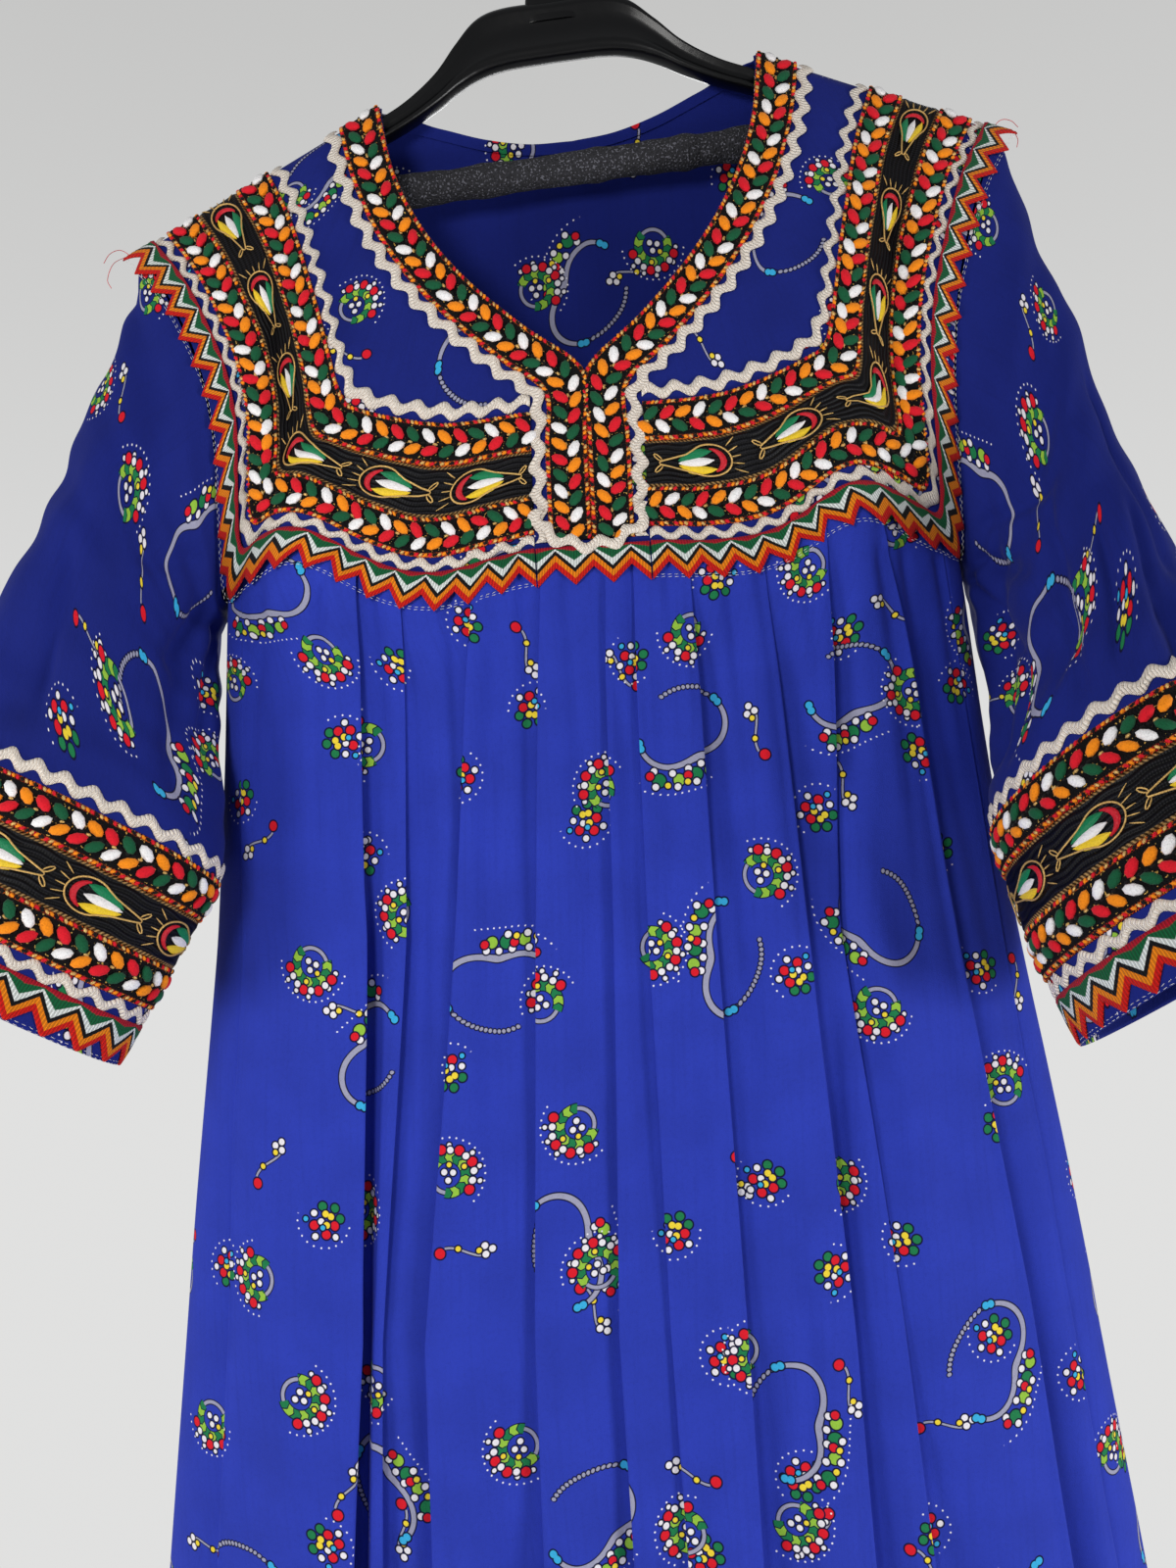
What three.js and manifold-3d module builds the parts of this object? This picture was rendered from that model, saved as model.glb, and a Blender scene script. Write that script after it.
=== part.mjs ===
// A Kabyle dress hanging open on a plastic hanger: V neck, trimmed yoke, pleated skirt, trimmed sleeves.
// Millimetres, +Z up, the front of the dress towards -Y. The origin is where the rail carries the hook.
// The cloth is worked out in the garment's own frame, whose middle hangs SWING to one side of the hook.
import * as THREE from "three";
import { mergeVertices } from "three/addons/utils/BufferGeometryUtils.js";
import Module from "manifold-3d";

const wasm = await Module();
wasm.setup();

// ---- Driving dimensions ------------------------------------------------------------------------
const CLOTH = 1.2; // thickness of the cloth wall
const SEAM = 0.3; // gap between two pieces at a seam
const EDGE = 0.65; // a panel's outer face stops this far from the seam's plane, its inner one SEAM / 2
const YOKE_LAY = 1.5; // gap between a trim and the yoke under it, whose facets cross the trim's
const CUFF_LAY = 0.5; // gap between a trim and the sleeve, whose facets it shares
const SWING = 9; // the garment's middle lies this far along +X from the hook
const TILT = 0.08; // the hanger hangs askew: rise per millimetre along +X
const LEAN = 3; // the neck opening sits this far along +X from the garment's middle

const NECK = { x: 94, z: -103 }; // neck point on the shoulder line
const TIP = { x: 213, z: -157.5 }; // shoulder tip, where the sleeve is set in
const ARMPIT_Z = -352;
const HEM_Z = -1325;
const SADDLE = 8; // the cloth turns over the hanger's arm with this radius

// Front neckline and the columns of the yoke under it, from the middle to the neck point.
const FRONT_NECK = [
  { x: 0, z: -259, foot: 0 },
  { x: 27, z: -235, foot: 20 },
  { x: 54, z: -207, foot: 40 },
  { x: 74, z: -177, foot: 58 },
  { x: 87, z: -144, foot: 70 },
  { x: 92.5, z: -112, foot: 83 },
  { x: NECK.x, z: NECK.z, foot: 90 },
];
const BACK_NECK = [
  { x: 0, z: -124, foot: 0 },
  { x: 22, z: -122.5, foot: 20 },
  { x: 44, z: -117.5, foot: 40 },
  { x: 64, z: -110.5, foot: 58 },
  { x: 80, z: -104.8, foot: 70 },
  { x: 88, z: -103.4, foot: 80 },
  { x: NECK.x, z: NECK.z, foot: 90 },
];
const SHOULDER_COLUMNS = 6;

// Side edge of the bodice: the armhole down to the armpit, then the side seam down to the hem.
// reach says how far round its oval section the edge lies, from 0 at the middle to 1 at the side.
const BODY = [
  { z: -103, half: 240, reach: 0.46, front: 26, back: 20 },
  { z: -158, half: 213, reach: 0.5, front: 30, back: 23 },
  { z: -187, half: 199, reach: 0.52, front: 33, back: 25 },
  { z: -216, half: 187, reach: 0.55, front: 35, back: 27 },
  { z: -246, half: 179, reach: 0.6, front: 37, back: 28 },
  { z: -280, half: 175.5, reach: 0.7, front: 38, back: 29 },
  { z: -318, half: 178, reach: 0.88, front: 39, back: 30 },
  { z: -352, half: 183, reach: 1, front: 40, back: 31 },
  { z: -430, half: 189, reach: 1, front: 45, back: 34 },
  { z: -520, half: 198, reach: 1, front: 50, back: 37 },
  { z: -650, half: 217, reach: 1, front: 56, back: 41 },
  { z: -830, half: 241, reach: 1, front: 63, back: 46 },
  { z: -1060, half: 270, reach: 1, front: 72, back: 53 },
  { z: -1325, half: 300, reach: 1, front: 80, back: 60 },
];

// Pleats of the front skirt. Each runs down the cloth through four heights, as a share of the half width,
// and drops by step on the side away from its crest.
const PLEAT_HEIGHTS = [-352, -520, -700, -1325];
const FRONT_PLEATS = [
  { at: [-0.93, -0.9, -0.86, -0.83], crest: 1, step: [0.6, 2, 5, 20] },
  { at: [-0.615, -0.59, -0.573, -0.6], crest: -1, step: [1.2, 10, 14, 30] },
  { at: [-0.5, -0.494, -0.53, -0.47], crest: -1, step: [1.2, 4, 3, 16] },
  { at: [-0.31, -0.366, -0.43, -0.35], crest: 1, step: [1.2, 3, 3, 18] },
  { at: [-0.135, -0.18, -0.21, -0.2], crest: 1, step: [1.2, 2.5, 3.5, 22] },
  { at: [0.03, 0, -0.04, -0.03], crest: 1, step: [1.2, 2.5, 4, 20] },
  { at: [0.24, 0.22, 0.205, 0.15], crest: -1, step: [1.2, 3, 4, 22] },
  { at: [0.43, 0.425, 0.42, 0.33], crest: -1, step: [1.2, 4, 5, 18] },
  { at: [0.59, 0.51, 0.52, 0.52], crest: -1, step: [1.2, 3, 2, 20] },
  { at: [0.736, 0.773, 0.785, 0.74], crest: -1, step: [1.2, 10, 13, 30] },
  { at: [0.93, 0.93, 0.9, 0.88], crest: -1, step: [0.6, 3, 5, 16] },
];
const BACK_PLEATS = [
  { at: [-0.78, -0.78, -0.76, -0.77], crest: 1, step: [0.6, 5, 10, 26] },
  { at: [-0.52, -0.53, -0.5, -0.53], crest: -1, step: [0.6, 6, 11, 28] },
  { at: [-0.27, -0.25, -0.27, -0.26], crest: 1, step: [0.6, 5, 9, 24] },
  { at: [0.02, 0.03, 0.01, 0.03], crest: -1, step: [0.6, 5, 9, 26] },
  { at: [0.3, 0.28, 0.3, 0.28], crest: 1, step: [0.6, 6, 10, 24] },
  { at: [0.55, 0.57, 0.54, 0.56], crest: -1, step: [0.6, 5, 10, 28] },
  { at: [0.8, 0.79, 0.8, 0.79], crest: 1, step: [0.6, 4, 9, 24] },
];
const PLEAT_WIDTH = [1.2, 1.4, 2.5, 9]; // half width of a drop at the four heights, front
const BACK_PLEAT_WIDTH = [5, 8, 12, 20];
const SKIRT_ROWS = [0, 0.014, 0.04, 0.08, 0.17, 0.3, 0.45, 0.62, 0.81, 1];

// The yoke's lower edge rides up where the two big folds under it push forward.
const YOKE_FOOT = -353;
const YOKE_WAVES = [
  { x: -142, wide: 26, rise: 13, push: 9 },
  { x: 124, wide: 30, rise: 16, push: 11 },
  { x: -76, wide: 30, rise: -7, push: 0 },
];

// Each sleeve's rings below the armhole: its inner and outer fold lines and its half depth.
const RIGHT_SLEEVE = [
  { inner: [188, -5, -371], outer: [226, -4, -214], deep: 40 },
  { inner: [189, -22, -402], outer: [240, -18, -292], deep: 48 },
  { inner: [184, -46, -436], outer: [254, -38, -362], deep: 56 },
  { inner: [173, -63, -468], outer: [272, -56, -424], deep: 63 },
  { inner: [176, -88, -518], outer: [284, -80, -473], deep: 64 },
  { inner: [187, -113, -566], outer: [297, -103, -520], deep: 64 },
];
const LEFT_SLEEVE = [
  { inner: [188, -4, -371], outer: [229, -3, -214], deep: 38 },
  { inner: [190, -15, -402], outer: [252, -11, -286], deep: 43 },
  { inner: [187, -30, -438], outer: [281, -20, -352], deep: 46 },
  { inner: [180, -48, -477], outer: [312, -32, -410], deep: 47 },
  { inner: [200, -63, -519], outer: [332, -46, -452], deep: 48 },
  { inner: [222, -78, -561], outer: [352, -60, -494], deep: 48 },
];
const SLEEVE_SIDES = 22;
const CUFF_RING = 4; // the cuff's trims start at this ring and end at the last

// Trims across the yoke's frame and round the cuffs, as shares from the inner edge to the outer one.
const TRIMS = [
  { name: "rick_inner", from: 0, to: 0.09, strips: 1, thick: 1.2, colour: 0xf0e6d8 },
  { name: "braid_inner", from: 0.1, to: 0.29, strips: 1, thick: 2.4, colour: 0xc23a1c },
  { name: "ribbon", from: 0.3, to: 0.53, strips: 2, thick: 1.0, colour: 0x15151a },
  { name: "braid_outer", from: 0.54, to: 0.73, strips: 2, thick: 2.4, colour: 0xc23a1c },
  { name: "rick_outer", from: 0.74, to: 0.81, strips: 1, thick: 1.2, colour: 0xf0e6d8 },
  { name: "zigzag", from: 0.82, to: 1, strips: 3, thick: 1.4, colour: 0xd8551a },
];
// The frame's inner and outer lines, from the shoulder down to the corner and in to the placket.
const FRAME = [
  { inner: [142, -126], outer: [209, -156] },
  { inner: [131, -155], outer: [195.5, -187] },
  { inner: [124, -182], outer: [183.5, -216] },
  { inner: [118, -208], outer: [175.5, -248] },
  { inner: [113, -232], outer: [172.5, -284] },
  { inner: [110, -244], outer: [174.5, -320] },
  { inner: [105, -254], outer: [177, -344] },
  { inner: [99, -257.5], outer: [164, -344] },
  { inner: [92, -260], outer: [150, -344] },
  { inner: [84, -262], outer: [137, -344] },
  { inner: [76, -264], outer: [124, -344] },
  { inner: [68, -265.5], outer: [111, -344] },
  { inner: [60, -267], outer: [98, -344] },
  { inner: [45, -268], outer: [70, -344] },
  { inner: [32, -268], outer: [34, -344] },
];
const PLACKET_FOOT = -338;
const NECK_BRAID = [0.8, 20]; // from and to, measured out from the neck's edge
const NECK_RICKRACK = [20.6, 26.4];

const COLOURS = { cloth: 0x2a36a8, plastic: 0x101012, foam: 0x2b2b2e };

// ---- Tables and small sums ---------------------------------------------------------------------
const mix = (a, b, t) => a + (b - a) * t;
const clamp01 = (t) => Math.min(1, Math.max(0, t));
const smooth = (t) => clamp01(t) ** 2 * (3 - 2 * clamp01(t));
const bell = (t) => Math.exp(-t * t);

// The value of one column of BODY at a height.
function body(column, z) {
  const i = Math.max(1, BODY.findIndex((row) => row.z <= z));
  const last = z < HEM_Z ? BODY.length - 1 : i;
  const [a, b] = [BODY[last - 1], BODY[last]];
  return mix(a[column], b[column], clamp01((a.z - z) / (a.z - b.z)));
}

// One of a pleat's four values at a height.
function downPleat(values, z) {
  const i = Math.max(1, PLEAT_HEIGHTS.findIndex((h) => h <= z) < 0 ? 3 : PLEAT_HEIGHTS.findIndex((h) => h <= z));
  const t = clamp01((PLEAT_HEIGHTS[i - 1] - z) / (PLEAT_HEIGHTS[i - 1] - PLEAT_HEIGHTS[i]));
  return mix(values[i - 1], values[i], t);
}

const shoulderZ = (x) => NECK.z - (Math.max(0, Math.abs(x) - NECK.x) * (NECK.z - TIP.z)) / (TIP.x - NECK.x);

// How far the yoke's foot rides up at x, and how far its waves push the cloth forward at a point.
const footRise = (x) => YOKE_WAVES.reduce((sum, w) => sum + w.rise * bell((x - w.x) / w.wide), 0);
const wavePush = (x, z) =>
  YOKE_WAVES.reduce((sum, w) => sum + w.push * bell((x - w.x) / w.wide), 0) *
  smooth((-235 - z) / 110) * smooth((z + 560) / 150);

// The garment hangs askew from the hanger, and its skew dies out at the armpits.
function hang(point) {
  const held = smooth((point.z - ARMPIT_Z) / 190);
  const middle = Math.max(0, 1 - (point.x / TIP.x) ** 2);
  return new THREE.Vector3(point.x + LEAN * middle * held + SWING, point.y, point.z + TILT * point.x * held);
}

// Distance of the cloth in front of or behind the hanger's plane, before any pleat.
function depth(side, x, z) {
  const drop = Math.max(0, shoulderZ(x) - z);
  const saddle = drop < SADDLE ? Math.sqrt(1 - (1 - drop / SADDLE) ** 2) : 1;
  const fall = 1 - Math.exp(-drop / 55);
  const round = Math.sqrt(Math.max(0, 1 - Math.min(1, (Math.abs(x) / body("half", z)) * body("reach", z)) ** 3));
  const push = side === "front" ? wavePush(x, z) : 0;
  return SADDLE * saddle * Math.sqrt(round) + (body(side, z) - SADDLE) * fall * round + push * round + EDGE;
}

// ---- Building walls ----------------------------------------------------------------------------
// The unit normals of a grid of points, whose rows run down the cloth and whose columns run round it.
function normalsOf(rows, ring = false) {
  const [high, wide] = [rows.length, rows[0].length];
  const at = (r, c) => rows[Math.min(high - 1, Math.max(0, r))][ring ? (c + wide) % wide : Math.min(wide - 1, Math.max(0, c))];
  return rows.map((row, r) =>
    row.map((_, c) => {
      const along = at(r, c + 1).clone().sub(at(r, c - 1));
      const down = at(r + 1, c).clone().sub(at(r - 1, c));
      return down.cross(along).normalize();
    }),
  );
}

// Every point of a grid moved along its normal.
const moved = (rows, normals, far) =>
  rows.map((row, r) => row.map((point, c) => point.clone().addScaledVector(normals[r][c], far)));

// A closed wall between two grids of points of the same size, its outer face and its inner one.
function wall(outer, inner, ring = false) {
  const [high, wide] = [outer.length, outer[0].length];
  const back = high * wide;
  const index = [];
  const quad = (a, b, c, d) => index.push(a, b, c, a, c, d);
  const columns = ring ? wide : wide - 1;
  for (let r = 0; r < high - 1; r++)
    for (let c = 0; c < columns; c++) {
      const [p, q] = [r * wide + c, r * wide + ((c + 1) % wide)];
      quad(p, p + wide, q + wide, q);
      quad(back + p, back + q, back + q + wide, back + p + wide);
    }
  for (let c = 0; c < columns; c++) {
    const [p, q, foot] = [c, (c + 1) % wide, (high - 1) * wide];
    quad(p, q, back + q, back + p);
    quad(foot + q, foot + p, back + foot + p, back + foot + q);
  }
  if (!ring)
    for (let r = 0; r < high - 1; r++) {
      const [p, q] = [r * wide, r * wide + wide - 1];
      quad(p + wide, p, back + p, back + p + wide);
      quad(q, q + wide, back + q + wide, back + q);
    }
  const geometry = new THREE.BufferGeometry();
  const positions = [...outer, ...inner].flat().flatMap((point) => point.toArray());
  geometry.setAttribute("position", new THREE.Float32BufferAttribute(positions, 3));
  geometry.setIndex(index);
  return geometry;
}

// Cloth, whose outer face is the grid itself.
const cloth = (rows, ring) => wall(rows, moved(rows, normalsOf(rows, ring), -CLOTH), ring);

// A trim, which lies a little off the cloth whose points and normals it has.
const trim = (rows, normals, lay, thick, ring) =>
  wall(moved(rows, normals, lay + thick), moved(rows, normals, lay), ring);

const material = (colour, roughness = 0.85) =>
  new THREE.MeshStandardMaterial({ color: colour, roughness, metalness: 0 });

function mesh(name, geometry, colour, roughness) {
  const made = new THREE.Mesh(geometry, material(colour, roughness));
  made.name = name;
  return made;
}

// ---- Bodice ------------------------------------------------------------------------------------
const FIRST_DROPS = [0, 1, 3.5, SADDLE];

// The columns of a panel from the left armhole to the right one: where each starts and ends.
function panelColumns(neckline) {
  const right = neckline.map(({ x, z, foot }) => ({ top: [x, z], foot }));
  for (let i = 1; i <= SHOULDER_COLUMNS; i++) {
    const x = mix(NECK.x, TIP.x, i / SHOULDER_COLUMNS);
    right.push({ top: [x, shoulderZ(x)], foot: mix(90, 183, i / SHOULDER_COLUMNS) });
  }
  const left = right.slice(1).reverse().map(({ top, foot }) => ({ top: [-top[0], top[1]], foot: -foot }));
  return [...left, ...right];
}

// A point of a bodice column at a share v of its way down to the height foot.
function bodicePoint(column, v, footZ) {
  const z = mix(column.top[1], footZ, v);
  const edgeZ = mix(TIP.z, ARMPIT_Z, v);
  const bow = body("half", edgeZ) - mix(TIP.x, 183, v);
  const share = Math.abs(column.foot) / 183;
  return [mix(column.top[0], column.foot, v) + Math.sign(column.foot) * bow * share ** 4, z];
}

function bodiceRows(neckline, side, footOf, steps) {
  const columns = panelColumns(neckline);
  const rows = [];
  for (let r = 0; r < FIRST_DROPS.length + steps; r++)
    rows.push(
      columns.map((column) => {
        const footZ = footOf(column.foot);
        const long = column.top[1] - footZ;
        const first = FIRST_DROPS[Math.min(r, FIRST_DROPS.length - 1)] / long;
        const v = r < FIRST_DROPS.length ? first : mix(first, 1, (r - FIRST_DROPS.length + 1) / steps);
        const [x, z] = bodicePoint(column, v, footZ);
        const y = depth(side, x, z);
        const inset = 1 - SEAM / 2 / Math.max(1, Math.abs(TIP.x));
        return hang(new THREE.Vector3(x * inset, side === "front" ? -y : y, z));
      }),
    );
  return rows;
}

const seamZ = (x) => YOKE_FOOT + 5 + footRise(x);

// ---- Skirt -------------------------------------------------------------------------------------
// How far a pleated cloth stands out at a share c of its half width.
function pleatLift(pleats, widths, c, z) {
  const half = body("half", z);
  const soft = downPleat(widths, z) / half;
  const marks = pleats.map((pleat) => {
    const step = downPleat(pleat.step, z);
    const [left, right] = pleat.crest < 0 ? [0.6 * step, -0.4 * step] : [-0.4 * step, 0.6 * step];
    return { c: downPleat(pleat.at, z), left, right };
  });
  const ends = [{ c: -1, left: 0, right: 0 }, ...marks, { c: 1, left: 0, right: 0 }];
  const on = marks.find((mark) => Math.abs(c - mark.c) < soft);
  if (on) return mix(on.left, on.right, smooth((c - on.c) / soft / 2 + 0.5)) * (1 - c ** 6);
  const next = ends.findIndex((mark) => mark.c > c);
  if (next < 1) return 0;
  const [a, b] = [ends[next - 1], ends[next]];
  const t = (c - a.c) / (b.c - a.c);
  const belly = 0.07 * (b.c - a.c) * half * smooth((ARMPIT_Z - z) / 200);
  return (mix(a.right, b.left, smooth(t)) + belly * Math.sin(Math.PI * t)) * (1 - c ** 6);
}

// A point of the skirt at a share c of the half width, front or back.
function skirtPoint(side, pleats, widths, c, z) {
  const half = body("half", z);
  const deep = body(side, z);
  const round = Math.sqrt(Math.max(0, 1 - Math.abs(c) ** 3));
  const away = new THREE.Vector2((3 * c * Math.abs(c)) / half, (2 * round) / deep).normalize();
  const lift = pleatLift(pleats, widths, c, z) + (side === "front" ? wavePush(c * half, z) * round : 0);
  const x = c * half + away.x * lift;
  const y = deep * round + away.y * lift + EDGE;
  return new THREE.Vector3(x, side === "front" ? -y : y, z);
}

// The skirt's columns, as functions of height: one each side of a pleat, and one between two pleats.
function skirtColumns(pleats, widths) {
  const lines = [() => -1, () => -0.97];
  pleats.forEach((pleat, i) => {
    const at = (z) => downPleat(pleat.at, z);
    const soft = (z) => downPleat(widths, z) / body("half", z);
    const before = i ? (z) => downPleat(pleats[i - 1].at, z) : () => -0.97;
    lines.push((z) => (before(z) + at(z)) / 2, (z) => at(z) - soft(z), (z) => at(z) + soft(z));
  });
  const last = pleats[pleats.length - 1];
  lines.push((z) => (downPleat(last.at, z) + 0.97) / 2, () => 0.97, () => 1);
  return lines;
}

function frontSkirtRows() {
  const lines = skirtColumns(FRONT_PLEATS, PLEAT_WIDTH);
  return SKIRT_ROWS.map((share) =>
    lines.map((line) => {
      const flat = mix(ARMPIT_Z, HEM_Z, share);
      const top = seamZ(line(flat) * body("half", ARMPIT_Z)) - 4 * SEAM;
      const z = mix(mix(top, HEM_Z, share), flat, smooth(share / 0.1));
      return hang(skirtPoint("front", FRONT_PLEATS, PLEAT_WIDTH, line(z), z));
    }),
  );
}

// The back is one piece: its bodice rows run on into skirt rows with the same number of columns.
function backRows() {
  const bodice = bodiceRows(BACK_NECK, "back", () => ARMPIT_Z, 7);
  const lines = skirtColumns(BACK_PLEATS, BACK_PLEAT_WIDTH);
  const wide = bodice[0].length;
  const skirt = SKIRT_ROWS.slice(3).map((share) => {
    const z = mix(ARMPIT_Z, HEM_Z, share);
    return Array.from({ length: wide }, (_, i) => {
      const t = (i / (wide - 1)) * (lines.length - 1);
      const [a, b] = [Math.floor(t), Math.ceil(t)];
      const c = mix(lines[a](z), lines[b](z), t - a);
      return hang(skirtPoint("back", BACK_PLEATS, BACK_PLEAT_WIDTH, c, z));
    });
  });
  return [...bodice, ...skirt];
}

// ---- Sleeves -----------------------------------------------------------------------------------
function sleeveRings(hand, table) {
  const rings = [];
  const turn = (k) => (k / SLEEVE_SIDES) * 2 * Math.PI;
  const armhole = [];
  for (let k = 0; k < SLEEVE_SIDES; k++) {
    const z = mix(ARMPIT_Z, TIP.z, (1 + Math.cos(turn(k))) / 2);
    const x = body("half", z) + SEAM / 2 + CLOTH;
    const side = Math.sin(turn(k)) >= 0 ? "front" : "back";
    const y = Math.abs(Math.sin(turn(k))) < 1e-6 ? 0 : depth(side, x, z);
    armhole.push(new THREE.Vector3(x, side === "front" ? -y : y, z));
  }
  rings.push(armhole);
  table.forEach((row, j) => {
    const [inner, outer] = [new THREE.Vector3(...row.inner), new THREE.Vector3(...row.outer)];
    const middle = inner.clone().add(outer).multiplyScalar(0.5);
    const across = outer.clone().sub(inner).multiplyScalar(0.5);
    const [above, below] = [(table[j - 1] ?? row).inner, (table[j + 1] ?? row).inner];
    const run = new THREE.Vector2(below[1] - above[1], below[2] - above[2]).normalize();
    const forward = new THREE.Vector3(0, j < 1 ? -1 : run.y, j < 1 ? 0 : -run.x).multiplyScalar(row.deep);
    rings.push(
      armhole.map((_, k) =>
        middle.clone().addScaledVector(across, Math.cos(turn(k))).addScaledVector(forward, Math.sin(turn(k))),
      ),
    );
  });
  return rings.map((ring) => {
    const placed = ring.map((p) => hang(new THREE.Vector3(hand * p.x, p.y, p.z)));
    return hand > 0 ? placed : [placed[0], ...placed.slice(1).reverse()];
  });
}

// The rows of a band round the cuff, between two shares of the way from its first ring to its last.
function cuffRows(rings, from, to) {
  const last = rings.length - 1;
  const rowAt = (share) => {
    const t = mix(CUFF_RING, last, share);
    const j = Math.min(last - 1, Math.floor(t));
    return rings[j].map((p, k) => p.clone().lerp(rings[j + 1][k], t - j));
  };
  const inside = [0, 0.5, 1].filter((share) => share > from + 1e-6 && share < to - 1e-6);
  return [from, ...inside, to].map(rowAt);
}

// ---- Trims on the yoke -------------------------------------------------------------------------
const yoke = bodiceRows(FRONT_NECK, "front", seamZ, 8);
const yokeNormals = normalsOf(yoke);
const yokeFacets = yoke.slice(1).flatMap((row, r) =>
  row.slice(1).flatMap((_, c) => {
    const corner = (down, along) => ({ p: yoke[r + down][c + along], n: yokeNormals[r + down][c + along] });
    return [
      [corner(0, 0), corner(1, 0), corner(1, 1)],
      [corner(0, 0), corner(1, 1), corner(0, 1)],
    ];
  }),
);

// The yoke's point and normal at a place of the garment's frame, on the facet nearest to it.
function onYoke(x, z) {
  const place = hang(new THREE.Vector3(x, 0, z));
  const flat = (p) => new THREE.Vector3(p.x, 0, p.z);
  let best = { inside: -Infinity };
  for (const facet of yokeFacets) {
    const shares = new THREE.Vector3();
    if (!THREE.Triangle.getBarycoord(place, ...facet.map(({ p }) => flat(p)), shares)) continue;
    const inside = Math.min(...shares.toArray());
    if (inside > best.inside) best = { inside, facet, shares };
  }
  const sum = (key) =>
    best.facet.reduce((v, corner, i) => v.addScaledVector(corner[key], best.shares.getComponent(i)), new THREE.Vector3());
  return { point: place.setY(sum("p").y), normal: sum("n").normalize() };
}

// A trim of the yoke, on rows of places given from the middle out or the other way round.
function yokeTrim(rows, hand, thick) {
  const laid = hand < 0 ? rows : rows.map((row) => row.slice().reverse());
  const pick = (key) => laid.map((row) => row.map((place) => place[key]));
  return trim(pick("point"), pick("normal"), YOKE_LAY, thick);
}

// Down from the shoulder line the trims bend over the hanger's arm at the same drops as the panel does.
const downFrom = (x) => FIRST_DROPS.slice(1).map((drop) => [x, shoulderZ(x) - drop]);

function frameRows(hand, from, to, strips) {
  return Array.from({ length: strips + 1 }, (_, i) => mix(from, to, i / strips)).map((share) => {
    const across = ({ inner, outer }) => [mix(inner[0], outer[0], share), mix(inner[1], outer[1], share)];
    return [...downFrom(across(FRAME[0])[0]), ...FRAME.slice(1).map(across)].map(([x, z]) =>
      onYoke(hand * x, z + footRise(hand * x) * smooth((-230 - z) / 90)),
    );
  });
}

// The braid and the rickrack that edge the neck and run down the placket.
function neckRows(hand, from, to) {
  const line = FRONT_NECK.slice().reverse();
  const edge = (offset) => {
    const path = line.slice(2, -1).map((p, i) => {
      const run = new THREE.Vector2(line[i + 3].x - line[i + 1].x, line[i + 3].z - line[i + 1].z).normalize();
      return [p.x - run.y * offset, p.z + run.x * offset];
    });
    const knee = FRONT_NECK[0].z - 0.45 * offset;
    const placket = [0, 0.5, 1].map((t) => [offset, mix(knee, PLACKET_FOOT, t)]);
    return [...downFrom(NECK.x + offset), ...path, ...placket].map(([x, z]) => onYoke(hand * x, z));
  };
  return [edge(from), edge(to)];
}

// ---- Hanger ------------------------------------------------------------------------------------
// Top and bottom edges of the hanger's arm, and its half thickness, from the middle out to the tip.
const ARM = [
  { x: 0, top: -62, foot: -90, thick: 5 },
  { x: 24, top: -62, foot: -90.5, thick: 5 },
  { x: 38, top: -66, foot: -93, thick: 5 },
  { x: 50, top: -77, foot: -98, thick: 5 },
  { x: 62, top: -90, foot: -105, thick: 4.8 },
  { x: 78, top: -101.5, foot: -113, thick: 4.6 },
  { x: 97, top: -110.5, foot: -121, thick: 4.4 },
  { x: 150, top: -134, foot: -144, thick: 4.2 },
  { x: 190, top: -152.5, foot: -161, thick: 3.8 },
];
const HOOK = { wire: 2.4, bend: 22, neck: 12 };
const BAR = { z: -145, reach: 156, core: 3.6, foam: 8, foamReach: 122 }; // it runs into the arms at its ends

// A solid through closed sections, each a list of points in order round it.
function loft(sections) {
  const around = sections[0].length;
  const positions = sections.flat().flatMap((p) => p.toArray());
  const index = [];
  for (let s = 0; s < sections.length - 1; s++)
    for (let k = 0; k < around; k++) {
      const [a, b] = [s * around + k, s * around + ((k + 1) % around)];
      index.push(a, b + around, b, a, a + around, b + around);
    }
  const end = (sections.length - 1) * around;
  for (let k = 1; k < around - 1; k++) index.push(0, k, k + 1, end, end + k + 1, end + k);
  const geometry = new THREE.BufferGeometry();
  geometry.setAttribute("position", new THREE.Float32BufferAttribute(positions, 3));
  geometry.setIndex(index);
  return geometry;
}

function solid(geometry) {
  const bare = geometry.index ? geometry.toNonIndexed() : geometry.clone();
  bare.deleteAttribute("normal");
  bare.deleteAttribute("uv");
  const merged = mergeVertices(bare, 1e-4);
  const vertProperties = new Float32Array(merged.attributes.position.array);
  return new wasm.Manifold(new wasm.Mesh({ numProp: 3, vertProperties, triVerts: new Uint32Array(merged.index.array) }));
}

function geometryOf(manifold) {
  const { vertProperties, triVerts } = manifold.getMesh();
  const geometry = new THREE.BufferGeometry();
  geometry.setAttribute("position", new THREE.Float32BufferAttribute(vertProperties, 3));
  geometry.setIndex([...triVerts]);
  return geometry;
}

function hangerArms() {
  const rows = [...ARM.slice(1).reverse().map((row) => ({ ...row, x: -row.x })), ...ARM];
  return loft(
    rows.map(({ x, top, foot, thick }) =>
      [
        [-1.6, top],
        [1.6, top],
        [thick, top - 4],
        [thick, foot + 2],
        [thick - 1.5, foot],
        [1.5 - thick, foot],
        [-thick, foot + 2],
        [-thick, top - 4],
      ].map(([y, z]) => new THREE.Vector3(x, y, z)),
    ),
  );
}

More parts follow.
